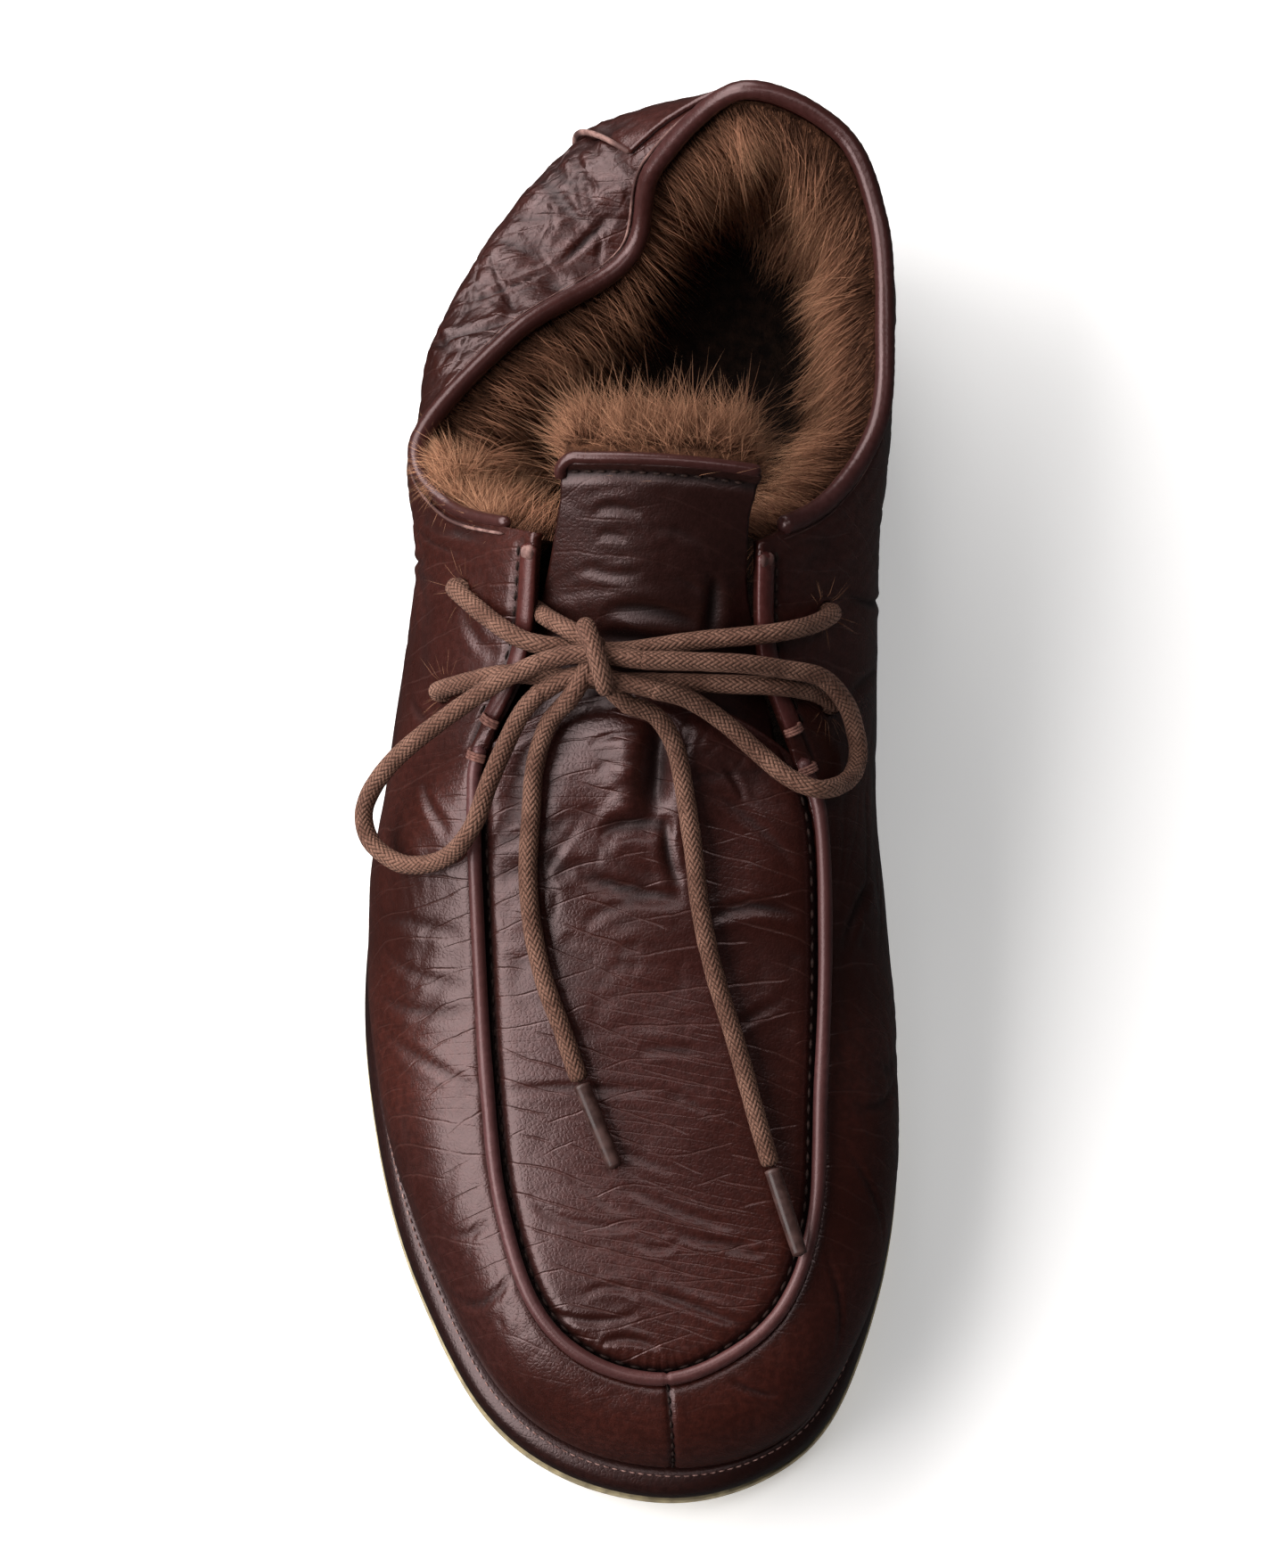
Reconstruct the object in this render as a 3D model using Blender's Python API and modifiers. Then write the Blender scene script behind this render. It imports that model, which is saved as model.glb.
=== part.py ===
"""Fur-lined moccasin flat for the right foot, standing empty on its sole.

The toe points to -Y, the little-toe (lateral) side is -X and the floor is z = 0. All sizes
below are millimetres; meshes are written in metres. The upper is lofted over three rails
that run once round the foot: the seam on the sole, the belly of the wall and the top edge
(apron seam, facing, collar). The sole, lining, backstay and bindings are read from the same
rails, so every piece keeps its fit when a rail changes.
"""

from collections import namedtuple

import bmesh
import bpy
import numpy as np
from mathutils import Vector

MM = 0.001  # metres in a millimetre

# Outer size of the shoe, and of the sample that the tables below are drawn for
Size = namedtuple("Size", "ball_width length instep_height")
BUILT = Size(106.9, 268.6, 86.0)
SAMPLE = Size(106.9, 268.6, 86.0)
GRADE = np.divide(BUILT, SAMPLE)

# Driving sizes
OUTSOLE_THICKNESS = 3.0
BALL_STACK = 15.0  # sole thickness under the ball, floor to seam
TOE_STACK = 13.0
HEEL_STACK = 21.0
TOE_SPRING = 7.0
HEEL_LIFT = 1.5
BALL_SHARE, HEEL_FLAT_SHARE = 0.268, 0.916  # where the flat of the sole starts and ends
WALL = 2.0  # leather and backing
GAP = 0.35  # air between pieces that are sewn or glued together
FOLD_GAP = 0.7  # the same where the wall folds: behind the fur, under the backstay, at the collar
INSOLE_THICKNESS = 3.5
BACKSTAY_THICKNESS = 1.1
PIPING_RADIUS = 1.35
FACING_RADIUS = 1.1
COLLAR_RADIUS = 1.9
TONGUE_THICKNESS = 2.4
TONGUE_EDGE_RADIUS = 1.5
FUR_DEPTH = 5.0
TONGUE_FUR_DEPTH = 10.0
LACE_RADIUS = 1.8
AGLET_RADIUS = 1.65
AGLET_GAP = 0.4
LACE_HOLE_RADIUS = 2.2

CENTRE_SHIFT = (0.0, -1.1, 0.0)  # sets the middle of the whole over the origin
TOE_Y, BACK_Y = -0.4993 * BUILT.length, 0.5007 * BUILT.length
BALL_Y = TOE_Y + BALL_SHARE * BUILT.length
HEEL_FLAT_Y = TOE_Y + HEEL_FLAT_SHARE * BUILT.length

# How finely the rails and walls are cut into faces
CUTS_PER_STATION = 3
WALL_ROWS = 7
APRON_CUTS = 8

# One row for each station round the foot. sole is the widest line of the wrapped sole, seam_in
# how far the upper's seam lies inside it, belly_out how far the wall's belly stands outside the
# seam, and top the edge of the wall: apron seam, then facing, then collar.
Station = namedtuple(
    "Station", "name sole_x sole_y seam_in belly_out belly_z top_x top_y top_z"
)
TOE = Station("toe", 14.0, -134.1, 4.8, -2.8, 32.0, 11.6, -114.8, 38.0)
LATERAL = [
    Station("toe corner", -6.5, -131.0, 4.6, -3.0, 31.5, -3.5, -112.2, 38.4),
    Station("little toe", -23.5, -119.5, 4.4, -2.4, 31.5, -14.5, -102.5, 39.6),
    Station("toe joint", -37.5, -97.0, 4.2, -2.5, 32.0, -22.0, -84.1, 42.2),
    Station("ball front", -46.5, -74.0, 3.4, -2.2, 34.0, -26.0, -63.5, 46.5),
    Station("ball", -52.5, -46.0, 2.6, -2.4, 36.5, -29.3, -38.0, 53.5),
    Station("waist", -53.2, -22.0, 2.4, -0.8, 41.0, -32.0, -12.0, 62.5),
    Station("tack", -51.0, -4.0, 2.3, 0.4, 43.0, -31.2, -1.0, 66.5),
    Station("facing", -48.0, 10.0, 2.2, 2.2, 46.0, -24.5, 15.5, 75.0),
    Station("facing corner", -43.3, 27.0, 2.2, 6.5, 49.0, -23.8, 36.0, 85.5),
    Station("collar front", -40.0, 40.0, 2.2, 10.5, 46.5, -42.0, 45.0, 66.5),
    Station("ankle", -37.0, 56.0, 2.2, 14.2, 44.0, -49.2, 60.0, 61.0),
    Station("slump front", -33.8, 77.0, 2.2, 18.0, 44.5, -33.0, 85.5, 55.0),
    Station("slump", -30.4, 98.0, 2.4, 14.8, 44.0, -12.2, 104.0, 50.0),
    Station("heel side", -18.5, 125.0, 2.8, 8.5, 46.0, -8.0, 119.0, 62.0),
]
HEEL = Station("heel", 5.0, 134.5, 3.0, 3.0, 48.0, 8.5, 129.8, 78.0)
MEDIAL = [
    Station("toe corner", 31.5, -128.3, 3.8, -2.8, 32.0, 25.0, -108.3, 39.0),
    Station("big toe", 43.5, -116.0, 3.0, -1.9, 32.0, 33.5, -98.0, 40.2),
    Station("toe joint", 50.8, -93.0, 2.2, 0.2, 32.0, 37.3, -82.0, 42.5),
    Station("ball front", 53.4, -69.0, 2.2, -0.2, 34.0, 36.8, -60.0, 47.3),
    Station("ball", 51.6, -42.0, 2.2, 0.2, 37.0, 35.7, -34.0, 55.0),
    Station("waist", 47.6, -20.0, 2.2, 0.8, 42.0, 33.2, -11.0, 63.0),
    Station("tack", 43.5, -2.0, 2.2, 2.3, 45.0, 28.6, 0.6, 67.3),
    Station("facing", 40.6, 13.0, 2.2, 3.6, 47.0, 20.5, 18.0, 76.3),
    Station("facing corner", 38.5, 30.0, 2.2, 5.0, 51.0, 18.5, 37.0, 86.0),
    Station("collar front", 37.6, 44.0, 2.2, 6.4, 50.0, 31.5, 48.0, 76.5),
    Station("ankle", 37.6, 61.0, 2.2, 6.4, 48.0, 40.0, 66.0, 70.0),
    Station("heel front", 38.5, 81.0, 2.2, 5.5, 48.0, 40.3, 86.0, 69.5),
    Station("heel quarter", 38.9, 102.0, 2.4, 4.0, 48.0, 37.5, 107.0, 72.5),
    Station("heel side", 27.5, 124.5, 2.8, 4.5, 48.0, 28.5, 123.3, 76.5),
]
STATION_NAMES = [s.name for s in (TOE, *LATERAL, HEEL)]
TACK = STATION_NAMES.index("tack")
CORNER = STATION_NAMES.index("facing corner")
HEEL_STATION = STATION_NAMES.index("heel")

# Crown of the apron above the chord between its two seams, and how far its back edge bows
APRON_CROWN = 8.5
APRON_BACK_BOW = 9.0

# One row for each section of the tongue, from under the apron to its top edge
TongueRow = namedtuple("TongueRow", "y z lateral_x medial_x arch")
TONGUE = [
    TongueRow(-14.0, 63.6, -19.0, 17.0, 3.0),
    TongueRow(-2.0, 68.2, -18.5, 16.5, 3.5),
    TongueRow(8.0, 72.3, -17.5, 15.0, 4.0),
    TongueRow(16.0, 77.6, -16.5, 13.0, 4.5),
    TongueRow(26.0, 86.0, -16.8, 12.4, 5.0),
    TongueRow(37.0, 93.6, -18.8, 15.0, 4.5),
    TongueRow(46.5, 100.5, -20.0, 18.0, 3.5),
]
TONGUE_CUTS = 8
TONGUE_ROW_CUTS = 2
TONGUE_FUR_RISE = 6.0  # how far the fur stands above the tongue's top edge

# Lace holes: station along the facing (a fraction lies between two), share of the wall's height
LaceHole = namedtuple("LaceHole", "name station share medial")
LACE_HOLES = [
    LaceHole("lateral_top", 8.83, 0.78, False),
    LaceHole("lateral_low", 7.93, 0.745, False),
    LaceHole("medial_top", 8.73, 0.78, True),
    LaceHole("medial_low", 7.83, 0.78, True),
]

# The lace, laid by hand over the facings, tongue and apron
LACE_BAR_TOP = [
    (-39.7, 28.0, 69.5), (-35.1, 22.3, 73.8), (-26.0, 17.0, 80.2), (-15.5, 15.2, 81.6),
    (-5.5, 15.2, 82.0), (7.5, 18.0, 82.2), (22.0, 20.8, 81.2), (29.5, 24.8, 75.0),
    (33.6, 28.1, 70.0),
]
LACE_BAR_LOW = [
    (-42.0, 11.0, 61.3), (-35.9, 10.5, 68.3), (-27.6, 10.8, 75.8), (-16.0, 10.2, 78.2),
    (-3.0, 10.0, 79.6), (8.0, 10.6, 79.2), (18.5, 11.3, 78.0), (25.3, 12.0, 75.4),
    (30.6, 12.9, 69.6), (35.4, 12.8, 63.7),
]
KNOT_CENTRE = (-11.5, 12.6, 87.6)
KNOT_RADII = (6.5, 6.0, 3.6)
LOOP_LATERAL = [
    (-20.0, 11.4, 86.0), (-25.0, 9.6, 82.6), (-31.5, 6.6, 78.0), (-41.8, 0.5, 69.0),
    (-48.5, -4.0, 61.0), (-52.6, -8.9, 55.0), (-53.6, -13.4, 51.5), (-51.1, -18.4, 51.0),
    (-44.8, -22.1, 53.5), (-37.2, -22.0, 60.6), (-32.2, -17.9, 68.6), (-29.5, -9.4, 70.6),
    (-27.1, -2.9, 72.6), (-24.0, 3.1, 77.4), (-20.0, 6.9, 82.6),
]
LOOP_MEDIAL = [
    (-3.0, 11.9, 88.0), (4.6, 12.7, 86.5), (16.3, 13.7, 84.0), (24.7, 14.4, 79.4),
    (31.8, 14.6, 74.6), (36.6, 11.7, 68.2), (38.9, 8.0, 62.2), (39.8, 3.5, 59.6),
    (38.2, -2.0, 63.4), (33.2, -6.4, 72.0), (27.0, -5.0, 73.4), (20.8, -0.7, 74.2),
    (13.7, 4.1, 77.4), (6.7, 6.8, 82.0), (-0.5, 7.2, 85.6),
]
END_LATERAL = [
    (-15.0, 5.2, 82.4), (-18.9, 1.5, 76.5), (-21.0, -5.5, 71.4), (-21.2, -14.9, 67.4),
    (-21.1, -24.4, 63.6), (-19.6, -34.0, 60.3), (-16.7, -43.6, 57.6), (-12.3, -53.2, 55.2),
    (-8.6, -61.9, 53.0),
]
END_MEDIAL = [
    (-5.4, 4.9, 82.4), (1.1, 3.8, 79.0), (5.2, -1.2, 75.2), (7.5, -8.8, 71.8),
    (10.0, -19.7, 67.6), (11.9, -29.2, 64.0), (15.2, -40.1, 60.0), (20.3, -52.7, 55.6),
    (25.5, -66.8, 50.9), (28.6, -74.8, 48.6),
]
AGLET_LATERAL_TIP = (-0.8, -77.4, 49.5)
AGLET_MEDIAL_TIP = (35.2, -91.0, 45.6)
CORD_CUTS = 2


# Rails and surfaces

def ground(y):
    """Underside of the outsole: flat under ball and heel, lifted at the toe and the back."""
    toe = np.clip((BALL_Y - y) / (BALL_Y - TOE_Y), 0, 1)
    back = np.clip((y - HEEL_FLAT_Y) / (BACK_Y - HEEL_FLAT_Y), 0, 1)
    return TOE_SPRING * toe**2 + HEEL_LIFT * back**2


def seam_height(y):
    """Height of the seam between upper and sole: the underside plus the stack at that place."""
    toe = np.clip((BALL_Y - y) / (BALL_Y - TOE_Y), 0, 1)
    heel = np.clip((y - BALL_Y) / (BACK_Y - BALL_Y), 0, 1)
    rise = heel * heel * (3 - 2 * heel)
    return ground(y) + BALL_STACK + (TOE_STACK - BALL_STACK) * toe + (HEEL_STACK - BALL_STACK) * rise


def hermite(start, end, leave, arrive, cuts):
    """Points of one cubic span, without its end."""
    t = (np.arange(cuts) / cuts)[:, None]
    return (
        (2 * t**3 - 3 * t**2 + 1) * start
        + (t**3 - 2 * t**2 + t) * leave
        + (3 * t**2 - 2 * t**3) * end
        + (t**3 - t**2) * arrive
    )


def closed_rail(rows, corners=()):
    """A smooth closed curve through the rows, which keeps a corner at the rows named."""
    rows = np.asarray(rows, float)
    before, after = np.roll(rows, 1, axis=0), np.roll(rows, -1, axis=0)
    arrive = (after - before) / 2
    leave = arrive.copy()
    for corner in corners:
        arrive[corner] = rows[corner] - before[corner]
        leave[corner] = after[corner] - rows[corner]
    spans = [
        hermite(rows[i], after[i], leave[i], np.roll(arrive, -1, axis=0)[i], CUTS_PER_STATION)
        for i in range(len(rows))
    ]
    return np.concatenate(spans)


def open_rail(rows, cuts):
    """A smooth curve through the rows, ends included."""
    rows = np.asarray(rows, float)
    slope = np.gradient(rows, axis=0)
    spans = [
        hermite(rows[i], rows[i + 1], slope[i], slope[i + 1], cuts) for i in range(len(rows) - 1)
    ]
    return np.concatenate([*spans, rows[-1:]])


def outward(loop):
    """Horizontal normals of a loop that runs from the toe along the lateral side to the heel."""
    along = np.roll(loop, -1, axis=0) - np.roll(loop, 1, axis=0)
    normal = np.stack([-along[:, 1], along[:, 0]], axis=1)
    return normal / np.linalg.norm(normal, axis=1, keepdims=True)


def with_height(plan, height):
    """Plan points lifted to their heights."""
    return np.column_stack([plan, height])


LOOP = [TOE, *LATERAL, HEEL, *reversed(MEDIAL)]
CORNERS = (CORNER, len(LOOP) - CORNER)
SOLE_LINE = closed_rail([(s.sole_x, s.sole_y) for s in LOOP]) * GRADE[:2]
SOLE_OUT = outward(SOLE_LINE)
SEAM_IN = closed_rail([(s.seam_in,) for s in LOOP])
BELLY_OUT = closed_rail([(s.belly_out,) for s in LOOP])
BELLY_Z = closed_rail([(s.belly_z,) for s in LOOP])[:, 0] * GRADE[2]
TOP_EDGE = closed_rail([(s.top_x, s.top_y, s.top_z) for s in LOOP], CORNERS) * GRADE
COLUMNS = len(SOLE_LINE)


def inside_sole(distance):
    """The sole's outline moved inwards."""
    return SOLE_LINE - SOLE_OUT * distance


def column_of(station):
    """Index of the column at a station; the same number counted down is the medial one."""
    return station * CUTS_PER_STATION


SEAM_PLAN = inside_sole(SEAM_IN)
SEAM = with_height(SEAM_PLAN, seam_height(SEAM_PLAN[:, 1]) + GAP)
BELLY = with_height(SEAM_PLAN + SOLE_OUT * BELLY_OUT, BELLY_Z)
SHOULDER = 2 * BELLY - (SEAM + TOP_EDGE) / 2


def wall(v):
    """One row of the upper's outer face: v is 0 at the seam, half at the belly, 1 at the top edge."""
    return (1 - v) ** 2 * SEAM + 2 * v * (1 - v) * SHOULDER + v**2 * TOP_EDGE


def wall_grid(columns, rows):
    """The outer face as a grid of columns and rows."""
    return np.stack([wall(v)[columns] for v in rows], axis=1)


def grid_normals(grid):
    """Normals of a grid whose columns run round the loop and whose rows run upwards."""
    normal = np.cross(np.gradient(grid, axis=1), np.gradient(grid, axis=0))
    return normal / np.linalg.norm(normal, axis=2, keepdims=True)


def apron_row(column):
    """One line of the apron from its lateral to its medial seam, crowned and bowed backwards."""
    lateral, medial = TOP_EDGE[column], TOP_EDGE[-column % COLUMNS]
    share = column / column_of(TACK)
    across = np.linspace(0, 1, APRON_CUTS + 1)[:, None]
    dome = 4 * across * (1 - across)
    lift = np.array([0, APRON_BACK_BOW * share**3, APRON_CROWN * share])
    return lateral + (medial - lateral) * across + dome * lift


def edge_frame(columns):
    """Along the top edge: its places, the way out of the leather's edge and the leather's normal."""
    place = TOP_EDGE[columns]
    along = np.gradient(place, axis=0)
    along /= np.linalg.norm(along, axis=1, keepdims=True)
    rise = place - SHOULDER[columns]
    normal = np.cross(rise, along)
    normal /= np.linalg.norm(normal, axis=1, keepdims=True)
    away = rise - np.sum(rise * along, axis=1, keepdims=True) * along
    return place, away / np.linalg.norm(away, axis=1, keepdims=True), normal


# Building blocks

def material(name, colour, roughness):
    """A plain finish."""
    made = bpy.data.materials.new(name)
    made.use_nodes = True
    shader = made.node_tree.nodes["Principled BSDF"]
    shader.inputs["Base Color"].default_value = (*colour, 1.0)
    shader.inputs["Roughness"].default_value = roughness
    shader.inputs["Metallic"].default_value = 0.0
    return made


def add_object(name, data, finish):
    """A named part that stands on the floor point."""
    made = bpy.data.objects.new(name, data)
    data.materials.append(finish)
    PARTS.objects.link(made)
    made.parent = STAND
    return made


def mesh_object(name, points, faces, finish):
    """A smooth mesh from points in millimetres, with its faces turned outwards."""
    mesh = bpy.data.meshes.new(name)
    mesh.from_pydata((np.asarray(points) * MM).tolist(), [], faces)
    shape = bmesh.new()
    shape.from_mesh(mesh)
    bmesh.ops.remove_doubles(shape, verts=shape.verts, dist=1e-6)
    bmesh.ops.recalc_face_normals(shape, faces=shape.faces)
    shape.to_mesh(mesh)
    shape.free()
    mesh.shade_smooth()
    return add_object(name, mesh, finish)


def grid_faces(columns, rows, start=0):
    """Quads of a grid stored column by column."""
    return [
        (start + c * rows + r, start + c * rows + r + 1, start + (c + 1) * rows + r + 1,
         start + (c + 1) * rows + r)
        for c in range(columns - 1)
        for r in range(rows - 1)
    ]


def shell(name, outer, inner, finish):
    """A closed solid between two grids of the same size."""
    columns, rows = outer.shape[:2]
    half = columns * rows
    rim = (
        [c * rows for c in range(columns)]
        + [(columns - 1) * rows + r for r in range(1, rows)]
        + [c * rows + rows - 1 for c in range(columns - 2, -1, -1)]
        + list(range(rows - 2, 0, -1))
    )
    faces = grid_faces(columns, rows) + grid_faces(columns, rows, half)
    faces += [(a, b, b + half, a + half) for a, b in zip(rim, rim[1:] + rim[:1])]
    points = np.concatenate([outer.reshape(-1, 3), inner.reshape(-1, 3)])
    return mesh_object(name, points, faces, finish)


def slab(name, levels, finish):
    """A sole layer: the outline at each level, as (distance inside the sole line, height function)."""
    rings = []
    for distance, height in levels:
        plan = inside_sole(distance)
        rings.append(with_height(plan, height(plan[:, 1])))
    faces = []
    for level in range(len(rings) - 1):
        base = level * COLUMNS
        for i in range(COLUMNS):
            j = (i + 1) % COLUMNS
            faces.append((base + i, base + j, base + COLUMNS + j, base + COLUMNS + i))
    for base in (0, (len(rings) - 1) * COLUMNS):
        for i in range(COLUMNS // 2):
            strip = (i, i + 1, COLUMNS - i - 1, (COLUMNS - i) % COLUMNS)
            faces.append(tuple(dict.fromkeys(base + corner for corner in strip)))
    return mesh_object(name, np.concatenate(rings), faces, finish)


def tube(name, points, radius, finish):
    """A round cord or piping along the points."""
    curve = bpy.data.curves.new(name, "CURVE")
    curve.dimensions = "3D"
    curve.bevel_depth = radius * MM
    curve.bevel_resolution = 2
    curve.use_fill_caps = True
    spline = curve.splines.new("POLY")
    spline.points.add(len(points) - 1)
    for point, place in zip(spline.points, np.asarray(points) * MM):
        point.co = (*place, 1.0)
    return add_object(name, curve, finish)


# Pieces

def make_sole():
    """Crepe outsole, leather-wrapped midsole and the fur-covered sock."""
    slab("outsole", [
        (1.2, ground),
        (-0.3, lambda y: ground(y) + 1.0),
        (0.0, lambda y: ground(y) + OUTSOLE_THICKNESS),
    ], CREPE)

    def band(share):
        """Height at a share of the wrapped midsole, between outsole and seam."""
        low = OUTSOLE_THICKNESS + GAP
        return lambda y: ground(y) + low + share * (seam_height(y) - ground(y) - low)

    slab("wrapped_midsole", [
        (1.0, band(0.0)),
        (0.2, band(0.2)),
        (0.0, band(0.5)),
        (0.7, band(0.82)),
        (SEAM_IN * 0.75, band(0.99)),
        (SEAM_IN + 0.6, band(1.0)),
    ], DARK_LEATHER)

    under = SEAM_IN + WALL + 2 * GAP
    slab("insole", [
        (under, lambda y: seam_height(y) + GAP),
        (under, lambda y: seam_height(y) + GAP + 0.7 * INSOLE_THICKNESS),
        (under + 1.0, lambda y: seam_height(y) + GAP + INSOLE_THICKNESS),
    ], FUR)


def make_upper():
    """The wall round the foot and the apron between its seams, as one leather skin."""
    rows = WALL_ROWS + 1
    points = list(wall_grid(np.arange(COLUMNS), np.linspace(0, 1, rows)).reshape(-1, 3))
    faces = []
    for c in range(COLUMNS):
        n = (c + 1) % COLUMNS
        for r in range(WALL_ROWS):
            faces.append((c * rows + r, c * rows + r + 1, n * rows + r + 1, n * rows + r))
    lines = [[WALL_ROWS] * (APRON_CUTS + 1)]
    for column in range(1, column_of(TACK) + 1):
        first = len(points)
        points.extend(apron_row(column)[1:-1])
        top, far_top = (c * rows + WALL_ROWS for c in (column, COLUMNS - column))
        lines.append([top, *range(first, len(points)), far_top])
    for near, far in zip(lines, lines[1:]):
        for m in range(APRON_CUTS):
            faces.append(tuple(dict.fromkeys((near[m], near[m + 1], far[m + 1], far[m]))))
    upper = mesh_object("upper", points, faces, LEATHER)
    skin = upper.modifiers.new("wall", "SOLIDIFY")
    skin.thickness = WALL * MM
    skin.offset = -1.0
    skin.use_even_offset = True
    return upper


def punch_lace_holes(upper):
    """Round holes through the quarters, each square to the leather."""
    for hole in LACE_HOLES:
        place = hole.station * CUTS_PER_STATION
        columns = np.arange(int(place) - 1, int(place) + 3)
        rows = hole.share + np.array([-0.02, 0.0, 0.02])
        grid = wall_grid(-columns if hole.medial else columns, rows)
        share = place - int(place)
        centre = grid[1, 1] + (grid[2, 1] - grid[1, 1]) * share
        normal = grid_normals(grid)[1, 1] * (-1 if hole.medial else 1)
        shape = bmesh.new()
        bmesh.ops.create_cone(
            shape, cap_ends=True, segments=12, radius1=LACE_HOLE_RADIUS * MM,
            radius2=LACE_HOLE_RADIUS * MM, depth=4 * WALL * MM,
        )
        mesh = bpy.data.meshes.new("punch_" + hole.name)
        shape.to_mesh(mesh)
        shape.free()
        punch = bpy.data.objects.new("punch_" + hole.name, mesh)
        punch.rotation_euler = Vector(normal).to_track_quat("Z", "Y").to_euler()
        punch.location = centre * MM
        punch.hide_render = True
        punch.display_type = "WIRE"
        punch.parent = STAND
        CUTTERS.objects.link(punch)
        cut = upper.modifiers.new("lace hole " + hole.name, "BOOLEAN")
        cut.operation = "DIFFERENCE"
        cut.solver = "EXACT"
        cut.object = punch


def make_backstay():
    """The overlay round the back of the heel, a step outside the upper's own face."""
    columns = np.arange(column_of(HEEL_STATION - 1), column_of(HEEL_STATION + 1) + 1)
    grid = wall_grid(columns, np.array([0.2, 1, 2, 3, 4, 5, 6, 6.5]) / WALL_ROWS)
    normal = grid_normals(grid)
    inner = grid + FOLD_GAP * normal
    shell("backstay", inner + BACKSTAY_THICKNESS * normal, inner, DARK_LEATHER)


def make_bindings():
    """Piping in the apron seam, bound facings and the rolled collar."""
    toe_first = np.arange(column_of(TACK), -column_of(TACK) - 1, -1)
    place, _, normal = edge_frame(toe_first)
    normal = normal * np.sign(normal[:, 2:])
    tube("apron_piping", place + normal * (PIPING_RADIUS + GAP), PIPING_RADIUS, PIPING)
    for name, sign in (("lateral", 1), ("medial", -1)):
        place, away, normal = edge_frame(sign * np.arange(column_of(TACK) + 1, column_of(CORNER) + 1))
        line = place + away * (FACING_RADIUS + GAP) - sign * normal * WALL / 2
        line[-1] = line[-2] + 0.6 * (line[-1] - line[-2])
        tube("facing_binding_" + name, line, FACING_RADIUS, PIPING)
    place, away, normal = edge_frame(np.arange(column_of(CORNER) + 1, COLUMNS - column_of(CORNER)))
    line = place + away * (COLLAR_RADIUS + FOLD_GAP) - normal * WALL / 2
    ends = [line[0] + 0.6 * (line[0] - line[1]), line[-1] + 0.6 * (line[-1] - line[-2])]
    tube("collar_binding", [ends[0], *line, ends[1]], COLLAR_RADIUS, PIPING)


def make_lining():
    """Fur on the inside of the quarters, from one facing round the heel to the other."""
    columns = np.arange(column_of(CORNER) + 3, COLUMNS - column_of(CORNER) - 2)
    rows = np.array([0.7, 1, 2, 3, 4, 5, 6, 6.7]) / WALL_ROWS
    grid = wall_grid(columns, rows)
    normal = grid_normals(grid)
    tufts = np.cos(2.1 * np.arange(len(columns)))[:, None] * np.cos(2.6 * np.arange(len(rows)))
    pile = FUR_DEPTH * (1 + 0.22 * tufts)[..., None]
    back = grid - (WALL + FOLD_GAP) * normal
    shell("fur_lining", back, back - pile * normal, FUR)


def tongue_grid(rows):
    """The tongue's outer face across each row, arched over the foot."""
    across = np.linspace(0, 1, TONGUE_CUTS + 1)
    return np.stack([
        np.column_stack([
            lateral + (medial - lateral) * across,
            np.full_like(across, y),
            z - arch * (2 * across - 1) ** 2,
        ])
        for y, z, lateral, medial, arch in rows
    ], axis=1)


def make_tongue():
    """The tongue, its bound top edge and the fur behind it."""
    grid = tongue_grid(open_rail(TONGUE, TONGUE_ROW_CUTS)) * GRADE
    normal = -grid_normals(grid)
    shell("tongue", grid, grid - TONGUE_THICKNESS * normal, LEATHER)

    along = grid[:, -1] - grid[:, -2]
    along /= np.linalg.norm(along, axis=1, keepdims=True)
    edge = grid[:, -1] - normal[:, -1] * TONGUE_THICKNESS / 2
    tube("tongue_binding", edge + along * (TONGUE_EDGE_RADIUS + GAP), TONGUE_EDGE_RADIUS, PIPING)

    furred = slice(2 * TONGUE_ROW_CUTS + 1, None)
    down = normal[:, furred]
    tuft = grid[:, furred] - (TONGUE_THICKNESS + GAP) * down
    depth = TONGUE_FUR_DEPTH * np.linspace(0.5, 1.0, tuft.shape[1])[None, :, None]
    locks = 1 + 0.15 * np.cos(2.3 * np.arange(TONGUE_CUTS + 1))[:, None, None]
    under = tuft - depth * locks * down
    under[:, -1] += along * TONGUE_FUR_RISE
    shell("tongue_fur", tuft, under, FUR)


def make_lace():
    """Bars over the tongue, the bow's knot and loops, and the free ends with their aglets."""
    for name, route in (
        ("lace_bar_top", LACE_BAR_TOP),
        ("lace_bar_low", LACE_BAR_LOW),
        ("lace_loop_lateral", LOOP_LATERAL),
        ("lace_loop_medial", LOOP_MEDIAL),
        ("lace_end_lateral", END_LATERAL),
        ("lace_end_medial", END_MEDIAL),
    ):
        tube(name, open_rail(route, CORD_CUTS) * GRADE, LACE_RADIUS, CORD)
    for name, route, tip in (
        ("aglet_lateral", END_LATERAL, AGLET_LATERAL_TIP),
        ("aglet_medial", END_MEDIAL, AGLET_MEDIAL_TIP),
    ):
        way = np.subtract(tip, route[-1]) * GRADE
        start = route[-1] * GRADE + way / np.linalg.norm(way) * AGLET_GAP
        tube(name, [start, tip * GRADE], AGLET_RADIUS, AGLET)
    shape = bmesh.new()
    bmesh.ops.create_uvsphere(shape, u_segments=14, v_segments=10, radius=MM)
    bmesh.ops.scale(shape, vec=KNOT_RADII, verts=shape.verts)
    bmesh.ops.translate(shape, vec=Vector(KNOT_CENTRE * GRADE) * MM, verts=shape.verts)
    mesh = bpy.data.meshes.new("lace_knot")
    shape.to_mesh(mesh)
    shape.free()
    mesh.shade_smooth()
    add_object("lace_knot", mesh, CORD)


# Scene

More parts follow.
